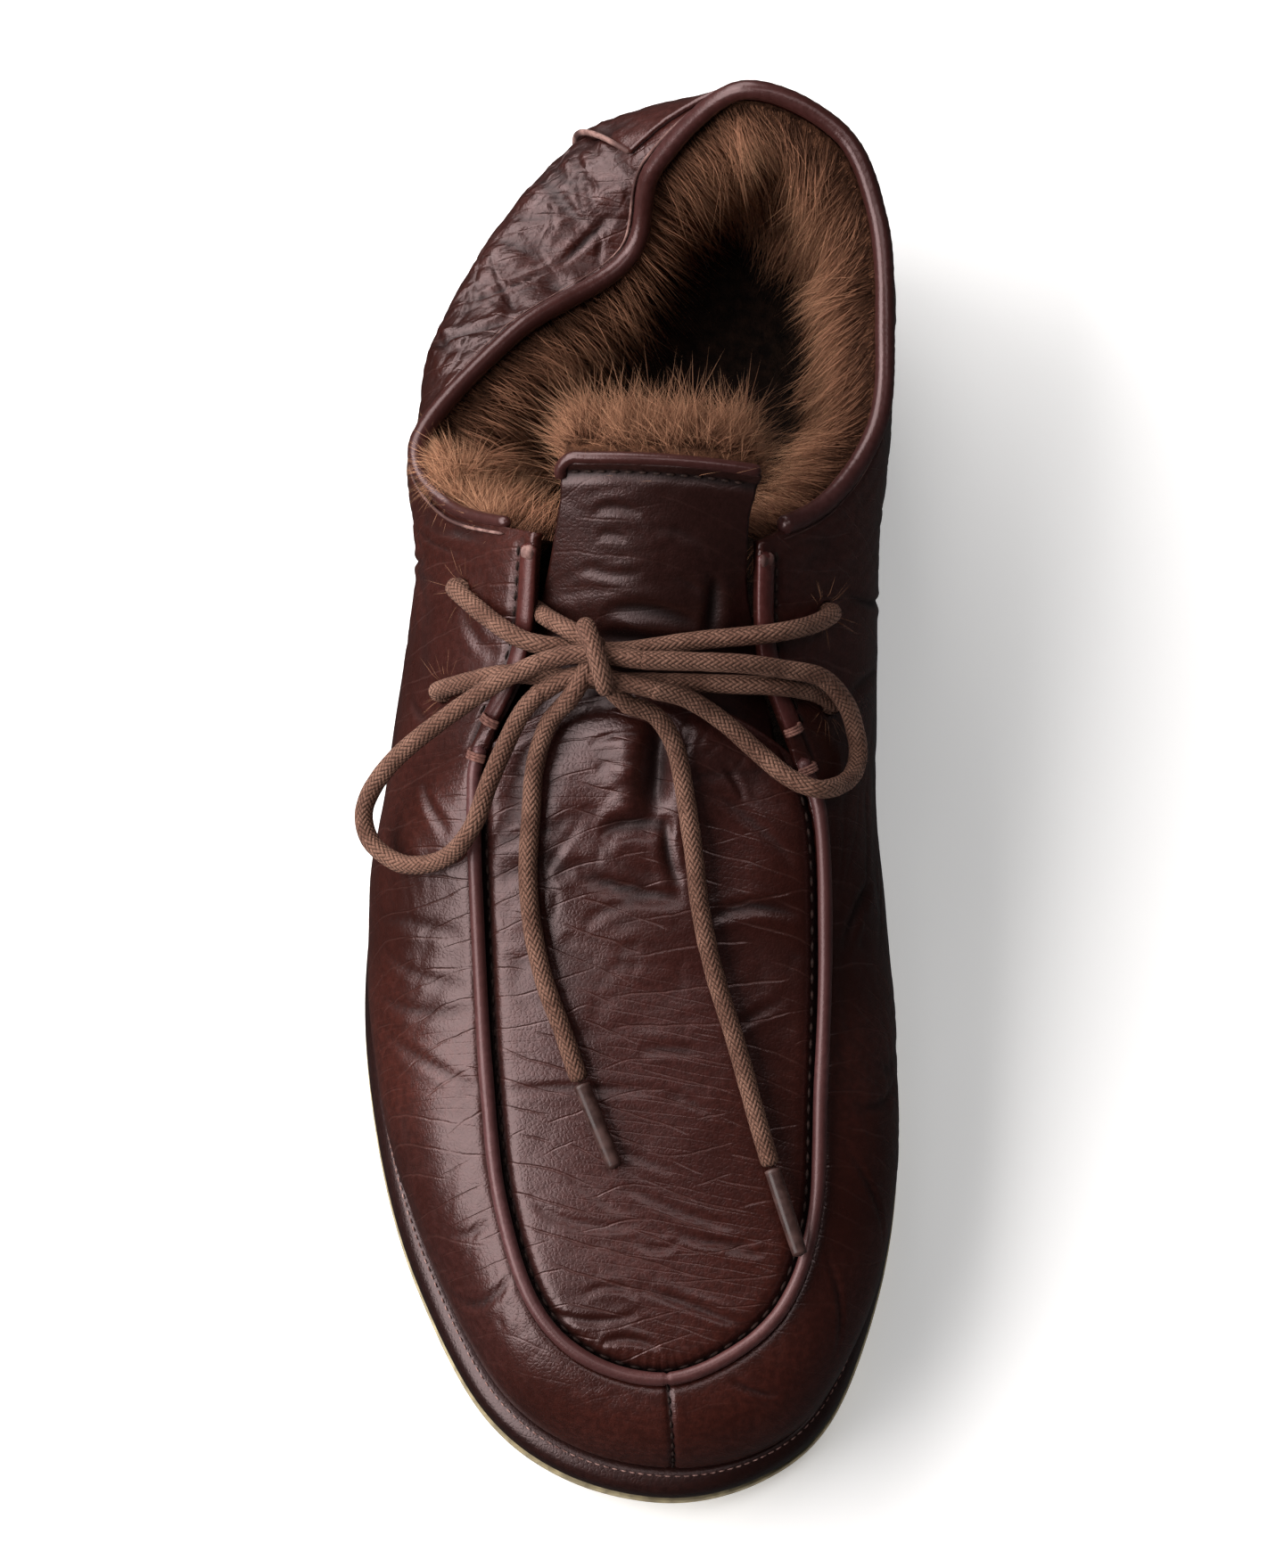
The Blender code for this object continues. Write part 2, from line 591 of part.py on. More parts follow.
for stale in list(bpy.data.objects):
    bpy.data.objects.remove(stale)
PARTS = bpy.data.collections.new("moccasin_flat")
bpy.context.scene.collection.children.link(PARTS)
CUTTERS = bpy.data.collections.new("cutters")
bpy.context.scene.collection.children.link(CUTTERS)
STAND = bpy.data.objects.new("floor_point", None)
STAND.location = Vector(CENTRE_SHIFT) * MM
PARTS.objects.link(STAND)
LEATHER = material("leather", (0.075, 0.022, 0.018), 0.38)
DARK_LEATHER = material("dark_leather", (0.03, 0.011, 0.009), 0.42)
CREPE = material("crepe", (0.42, 0.34, 0.2), 0.75)
PIPING = material("piping", (0.085, 0.03, 0.028), 0.4)
FUR = material("fur", (0.16, 0.09, 0.045), 0.9)
CORD = material("cord", (0.12, 0.066, 0.042), 0.8)
AGLET = material("aglet", (0.16, 0.1, 0.085), 0.25)

make_sole()
punch_lace_holes(make_upper())
make_backstay()
make_bindings()
make_lining()
make_tongue()
make_lace()
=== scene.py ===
# %% [markdown]
# # Dressing a fur-lined moccasin flat
# The solids of the shoe are loaded as a fixed frame, and every piece below is a finer skin that
# keeps the form of the solid it stands for. The real shoe is soft leather over fur, so most of
# the work goes into slack walls, creases, sewn seams, hair and a braided lace. Tables are in the
# shoe's own millimetres unless a comment says otherwise, with the toe towards -Y and the little toe
# towards -X.

# %% Load the frame
import math

import bmesh
import bpy
import numpy as np
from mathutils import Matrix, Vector


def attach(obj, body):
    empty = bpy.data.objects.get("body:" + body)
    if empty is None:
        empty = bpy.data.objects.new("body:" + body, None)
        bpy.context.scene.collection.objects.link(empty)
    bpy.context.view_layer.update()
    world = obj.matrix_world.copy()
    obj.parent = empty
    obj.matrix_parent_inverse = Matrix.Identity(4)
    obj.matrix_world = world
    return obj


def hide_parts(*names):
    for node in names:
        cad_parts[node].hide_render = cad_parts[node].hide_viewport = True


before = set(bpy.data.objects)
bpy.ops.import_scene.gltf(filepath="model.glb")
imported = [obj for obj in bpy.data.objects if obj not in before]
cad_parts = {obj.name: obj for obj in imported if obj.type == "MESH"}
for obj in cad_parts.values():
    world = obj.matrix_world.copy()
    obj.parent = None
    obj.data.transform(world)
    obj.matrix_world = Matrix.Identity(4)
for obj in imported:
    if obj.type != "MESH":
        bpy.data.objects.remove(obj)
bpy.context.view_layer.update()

MM = 0.001
MERGE_DISTANCE = 2e-7  # points nearer than this are one
CENTRE_SHIFT = np.array((0.0, -1.1, 0.0))  # from the tables' floor point to the frame's origin
print("nodes in the frame:", len(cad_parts))

# %% [markdown]
# ## Camera, floor and light
# The photo looks down on the shoe from a little in front of the toe with a long lens. A camera
# is placed by what it looks at, how far away it stands and how it is turned, so those are the
# named values. Leather shows its shape by what it mirrors: one large box of light on the little-toe
# side gives the broad sheen there, and a slim one overhead the lighter band along the apron.

# %% Camera
LOOK_AT = Vector((-0.0012, -0.0009, 0.040))
TILT, ROLL = math.radians(14), math.radians(4)
CAMERA_DISTANCE = 1.2
PHOTO_HEIGHT = 1759
PIXELS_PER_METRE = 5795  # photo pixels for a metre at the point looked at
SENSOR = 36.0

camera_data = bpy.data.cameras.new("camera")
camera_data.sensor_width = SENSOR
camera_data.lens = SENSOR * PIXELS_PER_METRE * CAMERA_DISTANCE / PHOTO_HEIGHT
camera = bpy.data.objects.new("camera", camera_data)
camera.rotation_euler = (TILT, 0.0, ROLL)
camera.location = LOOK_AT + camera.rotation_euler.to_matrix() @ Vector((0, 0, CAMERA_DISTANCE))
bpy.context.scene.collection.objects.link(camera)
bpy.context.scene.camera = camera
print("lens %.1f mm" % camera_data.lens)


# %% Lights
LAMP_COLOUR = (1.0, 0.97, 0.96)
ROOM_LIGHT = 0.035  # what the dim room adds from all around


def soft_box(name, place, size, watts):
    """A rectangular lamp at a place, turned towards the shoe."""
    data = bpy.data.lights.new(name, "AREA")
    data.shape = "RECTANGLE"
    data.size, data.size_y = size
    data.energy = watts
    data.color = LAMP_COLOUR
    lamp = bpy.data.objects.new(name, data)
    lamp.location = place
    lamp.rotation_euler = (LOOK_AT - Vector(place)).to_track_quat("-Z", "Y").to_euler()
    bpy.context.scene.collection.objects.link(lamp)
    print(name, "%.1f W" % watts)


soft_box("side_box", (-1.0, -0.12, 0.92), (1.5, 1.05), 32.0)
soft_box("top_box", (0.16, 0.10, 1.55), (0.3, 1.3), 4.2)
soft_box("back_box", (-0.75, 0.95, 0.75), (1.3, 1.0), 20.0)

studio = bpy.data.worlds.new("studio")
studio.use_nodes = True
studio.node_tree.nodes["Background"].inputs["Color"].default_value = (1.0, 1.0, 1.0, 1.0)
studio.node_tree.nodes["Background"].inputs["Strength"].default_value = ROOM_LIGHT
bpy.context.scene.world = studio
bpy.context.scene.view_settings.view_transform = "Standard"

# %% [markdown]
# ## Helpers for meshes and finishes
# A surface is a grid of points worked out with numpy. One helper numbers its quads, another makes
# the mesh, lets it ride on the shoe and hides the solid it stands for. Finishes are built with a
# small helper that adds one node and links whatever socket it is given.


# %% Mesh helpers
def in_frame(points):
    """Table millimetres as metres in the frame: moved by the centre shift, then scaled."""
    return (np.asarray(points, float) + CENTRE_SHIFT) * MM


def grid_quads(columns, rows, around=False, over=False):
    """Quads of a grid stored column by column, and the unwrapped column and row of each corner.
    around closes the last column on the first, over the last row on the first."""
    c, r = np.meshgrid(
        np.arange(columns - (not around)), np.arange(rows - (not over)), indexing="ij"
    )
    corners = np.stack([c, r, c, r + 1, c + 1, r + 1, c + 1, r], axis=-1).reshape(-1, 4, 2)
    return (corners[..., 0] % columns) * rows + corners[..., 1] % rows, corners


def add_piece(name, points, faces, finish, slot, stands_for=(), values=None, uv=None, merge=False):
    """A smooth mesh from table points, riding on the shoe. values are numbers kept on its points;
    merge joins points that coincide and turns the closed skin outwards."""
    mesh = bpy.data.meshes.new(name)
    mesh.from_pydata(in_frame(points).tolist(), [], [face.tolist() for face in faces])
    for key, numbers in (values or {}).items():
        layer = mesh.attributes.new(key, "FLOAT", "POINT")
        layer.data.foreach_set("value", np.asarray(numbers, np.float32).ravel())
    if uv is not None:
        mesh.uv_layers.new(name="weave").uv.foreach_set(
            "vector", np.asarray(uv, np.float32).ravel()
        )
    if merge:
        shape = bmesh.new()
        shape.from_mesh(mesh)
        bmesh.ops.remove_doubles(shape, verts=shape.verts, dist=MERGE_DISTANCE)
        bmesh.ops.recalc_face_normals(shape, faces=shape.faces)
        shape.to_mesh(mesh)
        shape.free()
    mesh.shade_smooth()
    mesh.materials.append(finish)
    piece = bpy.data.objects.new(name, mesh)
    bpy.context.scene.collection.objects.link(piece)
    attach(piece, "root")
    if stands_for:
        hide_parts(*stands_for)
    print(name, "triangles:", sum(len(p.vertices) - 2 for p in mesh.polygons))
    return piece


def unit(vectors):
    """Vectors scaled to length one."""
    return vectors / np.linalg.norm(vectors, axis=-1, keepdims=True)


def bell(distance, half_width):
    """The bell curve exp(-(distance / half width) squared): 1 at the middle, near 0 two widths off."""
    return np.exp(-((distance / half_width) ** 2))


def joined(parts):
    """Points and faces of several parts as one: faces count on from the points of the parts before."""
    starts = np.cumsum([0] + [len(points) for points, _ in parts[:-1]])
    return (
        np.concatenate([points for points, _ in parts]),
        np.concatenate([faces + start for (_, faces), start in zip(parts, starts)]),
    )


LATTICE = 48  # cells a side before the noise repeats


def lattice_noise(points, seed):
    """Smooth noise from -1 to 1: seeded values on a unit lattice, blended with eased weights."""
    values = np.random.default_rng(seed).uniform(-1, 1, (LATTICE, LATTICE, LATTICE))
    cell = np.floor(points).astype(int)
    share = points - cell
    share = share * share * (3 - 2 * share)
    total = np.zeros(points.shape[:-1])
    for corner in np.ndindex(2, 2, 2):
        weight = np.prod(np.where(corner, share, 1 - share), axis=-1)
        total += weight * values[tuple(np.moveaxis((cell + corner) % LATTICE, -1, 0))]
    return total


# %% Finish helpers
def add_node(tree, kind, inputs=None, **fields):
    """A shader node: fields are its own settings, inputs its sockets; a socket given is linked."""
    node = tree.nodes.new("ShaderNode" + kind)
    for field, value in fields.items():
        setattr(node, field, value)
    for socket, value in (inputs or {}).items():
        if isinstance(value, bpy.types.NodeSocket):
            tree.links.new(value, node.inputs[socket])
        else:
            node.inputs[socket].default_value = value
    return node


def new_finish(name, constants):
    """A material with its shader's constants set on the shader's own sockets."""
    made = bpy.data.materials.new(name)
    made.use_nodes = True
    shader = made.node_tree.nodes["Principled BSDF"]
    for socket, value in constants.items():
        shader.inputs[socket].default_value = value
    return made, made.node_tree, shader


def blend_colours(tree, share, low, high):
    """A mix of two colours by a share from 0 to 1."""
    node = add_node(tree, "Mix", {0: share}, data_type="RGBA")
    for socket, value in ((6, low), (7, high)):
        if isinstance(value, bpy.types.NodeSocket):
            tree.links.new(value, node.inputs[socket])
        else:
            node.inputs[socket].default_value = (*value, 1.0)
    return node.outputs[2]


def count(tree, operation, first, second=0.5, third=0.5):
    """One step of arithmetic on sockets or numbers."""
    return add_node(tree, "Math", {0: first, 1: second, 2: third}, operation=operation).outputs[0]


def spread(tree, value, low, high, to_low=0.0, to_high=1.0):
    """A value's range from low to high, moved to another range with soft ends."""
    return add_node(
        tree, "MapRange",
        {"Value": value, "From Min": low, "From Max": high, "To Min": to_low, "To Max": to_high},
        interpolation_type="SMOOTHSTEP",
    ).outputs[0]


def object_places(tree):
    """Places on the piece in its own metres, for patterns that run through the whole shoe."""
    return add_node(tree, "TexCoord").outputs["Object"]


def noise(tree, places, scale, detail):
    """A cloudy noise from 0 to 1 with scale clouds to the metre."""
    return add_node(tree, "TexNoise", {"Vector": places, "Scale": scale, "Detail": detail}).outputs[0]


def cell_walls(tree, places, scale):
    """Distance to the nearest wall of a pattern of cells, scale cells to the metre."""
    inputs = {"Vector": places, "Scale": scale}
    return add_node(tree, "TexVoronoi", inputs, feature="DISTANCE_TO_EDGE").outputs["Distance"]


def kept_value(tree, name):
    """A number that the mesh keeps on its points, 0 on pieces that have none."""
    return add_node(tree, "Attribute", attribute_name=name).outputs["Fac"]


def paint(tree, shader, colour):
    """The shader's base colour from a socket."""
    tree.links.new(colour, shader.inputs["Base Color"])


def raise_bump(tree, shader, height, strength, distance):
    """A bump from a height, on top of any that the shader has already."""
    bump = add_node(tree, "Bump", {"Height": height, "Strength": strength, "Distance": distance})
    for earlier in list(shader.inputs["Normal"].links):
        tree.links.new(earlier.from_socket, bump.inputs["Normal"])
    tree.links.new(bump.outputs[0], shader.inputs["Normal"])


# %% Floor
FLOOR_GLOW = 0.36  # lifts the floor to the pale ground of a studio


def pale_floor():
    """A warm white sweep with a faint mottle, so that it isn't one flat colour."""
    made, tree, shader = new_finish("pale_floor", {"Roughness": 0.85})
    coords = object_places(tree)
    mottle = noise(tree, coords, 9.0, 4.0)
    colour = blend_colours(tree, mottle, (0.86, 0.86, 0.86), (0.9, 0.9, 0.895))
    paint(tree, shader, colour)
    tree.links.new(colour, shader.inputs["Emission Color"])
    shader.inputs["Emission Strength"].default_value = FLOOR_GLOW
    return made


FLOOR_HALF = 4.0
floor_mesh = bpy.data.meshes.new("floor")
floor_mesh.from_pydata(
    [(x * FLOOR_HALF, y * FLOOR_HALF, 0.0) for x, y in ((-1, -1), (1, -1), (1, 1), (-1, 1))],
    [], [(0, 1, 2, 3)],
)
floor_mesh.materials.append(pale_floor())
floor = bpy.data.objects.new("floor", floor_mesh)
floor.visible_glossy = False  # the leather is to mirror the lamps, not the floor
bpy.context.scene.collection.objects.link(floor)

# %% [markdown]
# ## The lace
# A round braided cotton lace of about 3.6 mm runs through four plain holes and is tied in a bow.
# Its route is a list of points that were picked along the lace in the photo, with heights
# chosen so that it lies on facings, tongue and apron. A tube is a circle carried along that
# route. Its braid is too fine for the mesh, so the finish draws it from the turn and the length
# kept with each tube: two families of yarns wind in opposite ways.

# %% Lace routes
LACE_RADIUS = 1.8
BAR_TOP = [
    (-26.0, 17.0, 80.2), (-15.5, 15.2, 81.6), (-5.5, 15.2, 82.0), (7.5, 18.0, 82.2),
    (22.0, 20.8, 81.2), (29.5, 24.8, 75.0),
]
BAR_LOW = [
    (-35.9, 10.5, 68.3), (-27.6, 10.8, 75.8), (-16.0, 10.2, 78.2), (-3.0, 10.0, 79.6),
    (8.0, 10.6, 79.2), (18.5, 11.3, 78.0), (25.3, 12.0, 75.4), (30.6, 12.9, 69.6),
]
LOOP_LATERAL = [
    (-20.0, 11.4, 86.0), (-25.0, 9.6, 82.6), (-31.5, 6.6, 78.0), (-41.8, 0.5, 69.0),
    (-48.5, -4.0, 61.0), (-52.6, -8.9, 55.0), (-53.6, -13.4, 51.5), (-51.1, -18.4, 51.0),
    (-44.8, -22.1, 53.5), (-37.2, -22.0, 60.6), (-32.2, -17.9, 68.6), (-29.5, -9.4, 70.6),
    (-27.1, -2.9, 72.6), (-24.0, 3.1, 77.4), (-20.0, 6.9, 82.6),
]
LOOP_MEDIAL = [
    (-3.0, 11.9, 88.0), (4.6, 12.7, 86.5), (16.3, 13.7, 84.0), (24.7, 14.4, 79.4),
    (31.8, 14.6, 74.6), (36.6, 11.7, 68.2), (38.9, 8.0, 62.2), (39.8, 3.5, 59.6),
    (38.2, -2.0, 63.4), (33.2, -6.4, 72.0), (27.0, -5.0, 73.4), (20.8, -0.7, 74.2),
    (13.7, 4.1, 77.4), (6.7, 6.8, 82.0), (-0.5, 7.2, 85.6),
]
END_LATERAL = [
    (-15.0, 5.2, 82.4), (-18.9, 1.5, 76.5), (-21.0, -5.5, 71.4), (-21.2, -14.9, 67.4),
    (-21.1, -24.4, 63.6), (-19.6, -34.0, 60.3), (-16.7, -43.6, 57.6), (-12.3, -53.2, 55.2),
    (-8.6, -61.9, 53.0),
]
END_MEDIAL = [
    (-5.4, 4.9, 82.4), (1.1, 3.8, 79.0), (5.2, -1.2, 75.2), (7.5, -8.8, 71.8),
    (10.0, -19.7, 67.6), (11.9, -29.2, 64.0), (15.2, -40.1, 60.0), (20.3, -52.7, 55.6),
    (25.5, -66.8, 50.9), (28.6, -74.8, 48.6),
]
AGLET_LATERAL_TIP = (-0.8, -77.4, 49.5)
AGLET_MEDIAL_TIP = (35.2, -91.0, 45.6)
# The knot: strands that go through it, and the turn that wraps them
KNOT_STRANDS = [
    [(-22.0, 10.8, 84.8), (-16.0, 12.4, 86.6), (-10.0, 12.6, 87.4), (-1.0, 12.0, 87.8)],
    [(-22.0, 5.4, 80.4), (-15.0, 9.0, 84.0), (-8.0, 8.6, 85.4), (1.5, 7.2, 85.0)],
    [(-16.6, 3.6, 80.0), (-14.0, 6.6, 84.0), (-12.0, 11.0, 85.5), (-11.0, 14.0, 85.0)],
    [(-3.2, 4.5, 81.0), (-7.0, 6.6, 84.2), (-9.6, 10.6, 85.6), (-11.0, 14.0, 85.0)],
    [(-23.4, 25.0, 73.0), (-20.6, 21.4, 79.4), (-16.4, 18.0, 84.6), (-9.5, 14.0, 87.0)],
]
WRAP_CENTRE = np.array((-11.2, 12.2, 85.4))
WRAP_WAY = unit(np.array((0.42, -0.9, 0.0)))
WRAP_HALF_LENGTH, WRAP_HALF_HEIGHT = 6.4, 5.0
WRAP_ADVANCE = np.array((0.28, 0.1, 0))  # along the knot for each radian of the turn
print("lace routes laid, with", len(KNOT_STRANDS), "strands through the knot")


# %% Curves through points
def cubic_spans(start, end, leave, arrive, cuts):
    """Cubic spans between rows: each is set by its two ends and the slopes there."""
    t = (np.arange(cuts) / cuts)[None, :, None]
    start, end, leave, arrive = (row[:, None] for row in (start, end, leave, arrive))
    points = (
        (2 * t**3 - 3 * t**2 + 1) * start + (t**3 - 2 * t**2 + t) * leave
        + (3 * t**2 - 2 * t**3) * end + (t**3 - t**2) * arrive
    )
    return points.reshape(-1, start.shape[-1])


def open_rail(rows, cuts):
    """A smooth curve through the rows, ends included; the slope at a row is that of its neighbours."""
    rows = np.asarray(rows, float)
    slope = np.gradient(rows, axis=0)
    return np.concatenate(
        [cubic_spans(rows[:-1], rows[1:], slope[:-1], slope[1:], cuts), rows[-1:]]
    )


def running_length(points):
    """The length along a line of points, from its start to each of them."""
    return np.concatenate([[0], np.cumsum(np.linalg.norm(np.diff(points, axis=0), axis=1))])


def even_steps(points, step):
    """The same curve with points an even step apart, found by its running length."""
    length = running_length(points)
    wanted = np.linspace(0, length[-1], int(length[-1] / step) + 1)
    return np.stack([np.interp(wanted, length, axis) for axis in points.T], axis=1), wanted


def path_frame(path, up=(0.0, 0.0, 1.0)):
    """Along a path: its direction, a side vector square to up, and the vector square to both."""
    along = unit(np.gradient(path, axis=0))
    side = unit(np.cross(np.broadcast_to(up, along.shape), along))
    return along, side, np.cross(along, side)


def round_ends(running, reach, bluntness=0.5):
    """A radius share that closes both ends of a tube in a rounded tip."""
    near = np.clip(np.minimum(running, running[-1] - running) / reach, 0, 1)
    return np.sqrt(1 - (1 - near) ** 2) ** bluntness


# %% Cord tubes
CORD_SIDES = 20
CORD_STEP = 0.6
CORD_UNEVEN = 0.035  # share of the radius by which a soft lace swells and thins
ROUTE_CUTS = 12  # curve points for each point of a route


def cord_tube(route):
    """The grid of a cord along a route, a little uneven, with its turn and length as weave places."""
    path, running = even_steps(open_rail(route, ROUTE_CUTS), CORD_STEP)
    _, side, up = path_frame(path)
    turn = np.arange(CORD_SIDES) / CORD_SIDES
    uneven = 1 + CORD_UNEVEN * lattice_noise(path / 2.2 + 100, 2)
    size = LACE_RADIUS * uneven * round_ends(running, LACE_RADIUS)
    ring = np.cos(2 * np.pi * turn)[None, :, None] * side[:, None]
    ring = ring + np.sin(2 * np.pi * turn)[None, :, None] * up[:, None]
    grid = path[:, None] + size[:, None, None] * ring
    quads, corners = grid_quads(len(path), CORD_SIDES, over=True)
    uv = np.stack([corners[..., 1] / CORD_SIDES, corners[..., 0] * CORD_STEP], axis=-1)
    return path, grid.reshape(-1, 3), quads, uv


def joined_tubes(routes):
    """Several cords as one set of points, quads and weave places."""
    made = [cord_tube(route) for route in routes]
    points, quads = joined([tube[1:3] for tube in made])
    return points, quads, np.concatenate([tube[3] for tube in made])


# %% Lace finish
BRAID_YARNS = 12.0  # yarns side by side round the cord, each way
BRAID_PITCH = 1.35  # length along the cord from yarn to yarn


def braid(tree):
    """Height of a braid: yarns lie on two opposite helices; round the cord, columns where one
    family is on top alternate with columns of the other, which makes rows of chevrons."""
    weave = add_node(tree, "UVMap", uv_map="weave").outputs[0]
    place = add_node(tree, "SeparateXYZ", {0: weave})
    turn = count(tree, "MULTIPLY", place.outputs[0], BRAID_YARNS)
    along = count(tree, "DIVIDE", place.outputs[1], BRAID_PITCH)
    first, second = count(tree, "ADD", turn, along), count(tree, "SUBTRACT", turn, along)
    squares = count(tree, "ADD", count(tree, "FLOOR", first), count(tree, "FLOOR", second))
    on_top = count(tree, "GREATER_THAN", count(tree, "FLOORED_MODULO", squares, 4.0), 1.5)
    swap = count(tree, "SUBTRACT", first, second)
    across = count(tree, "MULTIPLY_ADD", on_top, swap, second)
    onward = count(tree, "SUBTRACT", count(tree, "ADD", first, second), across)
    hump, run = (
        count(tree, "ABSOLUTE", count(tree, "SINE", count(tree, "MULTIPLY", value, math.pi)))
        for value in (across, onward)
    )
    return count(tree, "MULTIPLY", hump, count(tree, "MULTIPLY_ADD", run, 0.5, 0.5))


def lace_cotton():
    """Waxed brown cotton with stray fibres: painted shade darkens the gaps between the yarns, so their
    humps look paler.
    """
    made, tree, shader = new_finish("lace_cotton", {"Roughness": 0.85, "Specular IOR Level": 0.2})
    height = braid(tree)
    coords = object_places(tree)
    wear = noise(tree, coords, 160.0, 3.0)
    fibres = noise(tree, coords, 1400.0, 3.0)
    yarn = blend_colours(tree, spread(tree, wear, 0.35, 0.7), (0.115, 0.053, 0.036), (0.195, 0.1, 0.07))
    # Painted shade: the colour darkens where the braid's height is low, between the yarns.
    colour = blend_colours(tree, spread(tree, height, 0.05, 0.65), (0.04, 0.018, 0.011), yarn)
    speck = blend_colours(tree, spread(tree, fibres, 0.5, 0.75, 0.0, 0.45), colour, (0.3, 0.16, 0.115))
    paint(tree, shader, speck)
    relief = count(tree, "MULTIPLY_ADD", fibres, 0.3, height)
    raise_bump(tree, shader, relief, 0.8, 0.0003)
    return made


LACE_COTTON = lace_cotton()


# %% Loops and free ends
def free_cord(name, route):
    """A loop or an end of the bow, as a braided cord along its route."""
    path, points, quads, uv = cord_tube(route)
    piece = add_piece(name + "_braid", points, quads, LACE_COTTON, "cord", (name,), None, uv, merge=True)


turns = np.linspace(0, 2 * np.pi, 15)[:, None]
wrap = WRAP_CENTRE + np.cos(turns) * WRAP_WAY * WRAP_HALF_LENGTH
wrap = wrap + np.sin(turns) * np.array((0.0, 0.0, WRAP_HALF_HEIGHT)) + turns * WRAP_ADVANCE
points, quads, uv = joined_tubes([*KNOT_STRANDS, wrap])
knot = add_piece(
    "lace_knot_braid", points, quads, LACE_COTTON, "cord", ("lace_knot",), None, uv, merge=True
)
free_cord("lace_loop_lateral", LOOP_LATERAL)
free_cord("lace_loop_medial", LOOP_MEDIAL)


# %% Aglets
def aglet_plastic():
    """Brown film rolled round the lace's tip: a dull gloss with cloudy patches."""
    made, tree, shader = new_finish("aglet_film", {"Coat Weight": 0.05, "IOR": 1.38})
    coords = object_places(tree)
    cloud = noise(tree, coords, 420.0, 4.0)
    colour = blend_colours(tree, spread(tree, cloud, 0.3, 0.75), (0.028, 0.012, 0.01), (0.07, 0.034, 0.029))
    paint(tree, shader, colour)
    tree.links.new(spread(tree, cloud, 0.3, 0.8, 0.3, 0.55), shader.inputs["Roughness"])
    return made


AGLET_FILM = aglet_plastic()
AGLET_RADIUS = 1.65
AGLET_SIDES = 28
AGLET_OVERLAP = 0.22  # step where the film laps over itself
AGLET_FLATNESS = 0.86  # height of the flattened tube for its width


def aglet(name, start, tip):
    """A tube whose radius is a circle with a lap step, pinched a little at the tip."""
    path, running = even_steps(np.array([start, tip], float), 0.5)
    _, side, up = path_frame(path)
    turn = np.arange(AGLET_SIDES) / AGLET_SIDES
    lap = AGLET_OVERLAP * turn
    share = running / running[-1]
    pinch = 1 - 0.12 * share**4 + 0.04 * bell(share - 0.03, 0.03)
    ends = round_ends(running, 0.55, 0.35)
    size = (AGLET_RADIUS - lap)[None] * (pinch * ends)[:, None]
    ring = np.cos(2 * np.pi * turn)[None, :, None] * side[:, None]
    ring = ring + np.sin(2 * np.pi * turn)[None, :, None] * up[:, None] * AGLET_FLATNESS
    grid = path[:, None] + size[..., None] * ring
    quads, _ = grid_quads(len(path), AGLET_SIDES, over=True)
    return add_piece(
        name + "_film", grid.reshape(-1, 3), quads, AGLET_FILM, "aglet", (name,), merge=True
    )


aglet_lateral = aglet("aglet_lateral", END_LATERAL[-1], AGLET_LATERAL_TIP)
aglet_medial = aglet("aglet_medial", END_MEDIAL[-1], AGLET_MEDIAL_TIP)
free_cord("lace_end_lateral", END_LATERAL)
free_cord("lace_end_medial", END_MEDIAL)

# %% [markdown]
# ## Rails of the upper
# The leather wall is stretched over three curves that run once round the foot: the seam on the
# sole, the belly of the wall and its top edge. The same station table as the solids' gives the
# same form, only with many more columns and rows, so that creases and seams can be raised in it.

# %% Stations
# sole_x sole_y seam_in belly_out belly_z top_x top_y top_z, from the toe along the little-toe side
LATERAL = [
    (14.0, -134.1, 4.8, -2.8, 32.0, 11.6, -114.8, 38.0),
    (-6.5, -131.0, 4.6, -3.0, 31.5, -3.5, -112.2, 38.4),
    (-23.5, -119.5, 4.4, -2.4, 31.5, -14.5, -102.5, 39.6),
    (-37.5, -97.0, 4.2, -2.5, 32.0, -22.0, -84.1, 42.2),
    (-46.5, -74.0, 3.4, -2.2, 34.0, -26.0, -63.5, 46.5),
    (-52.5, -46.0, 2.6, -2.4, 36.5, -29.3, -38.0, 53.5),
    (-53.2, -22.0, 2.4, -0.8, 41.0, -32.0, -12.0, 62.5),
    (-51.0, -4.0, 2.3, 0.4, 43.0, -31.2, -1.0, 66.5),
    (-48.0, 10.0, 2.2, 2.2, 46.0, -24.5, 15.5, 75.0),
    (-43.3, 27.0, 2.2, 6.5, 49.0, -23.8, 36.0, 85.5),
    (-40.0, 40.0, 2.2, 10.5, 46.5, -42.0, 45.0, 66.5),
    (-37.0, 56.0, 2.2, 14.2, 44.0, -49.2, 60.0, 61.0),
    (-33.8, 77.0, 2.2, 18.0, 44.5, -33.0, 85.5, 55.0),
    (-30.4, 98.0, 2.4, 14.8, 44.0, -12.2, 104.0, 50.0),
    (-18.5, 125.0, 2.8, 8.5, 46.0, -8.0, 119.0, 62.0),
]
HEEL = (5.0, 134.5, 3.0, 3.0, 48.0, 8.5, 129.8, 78.0)
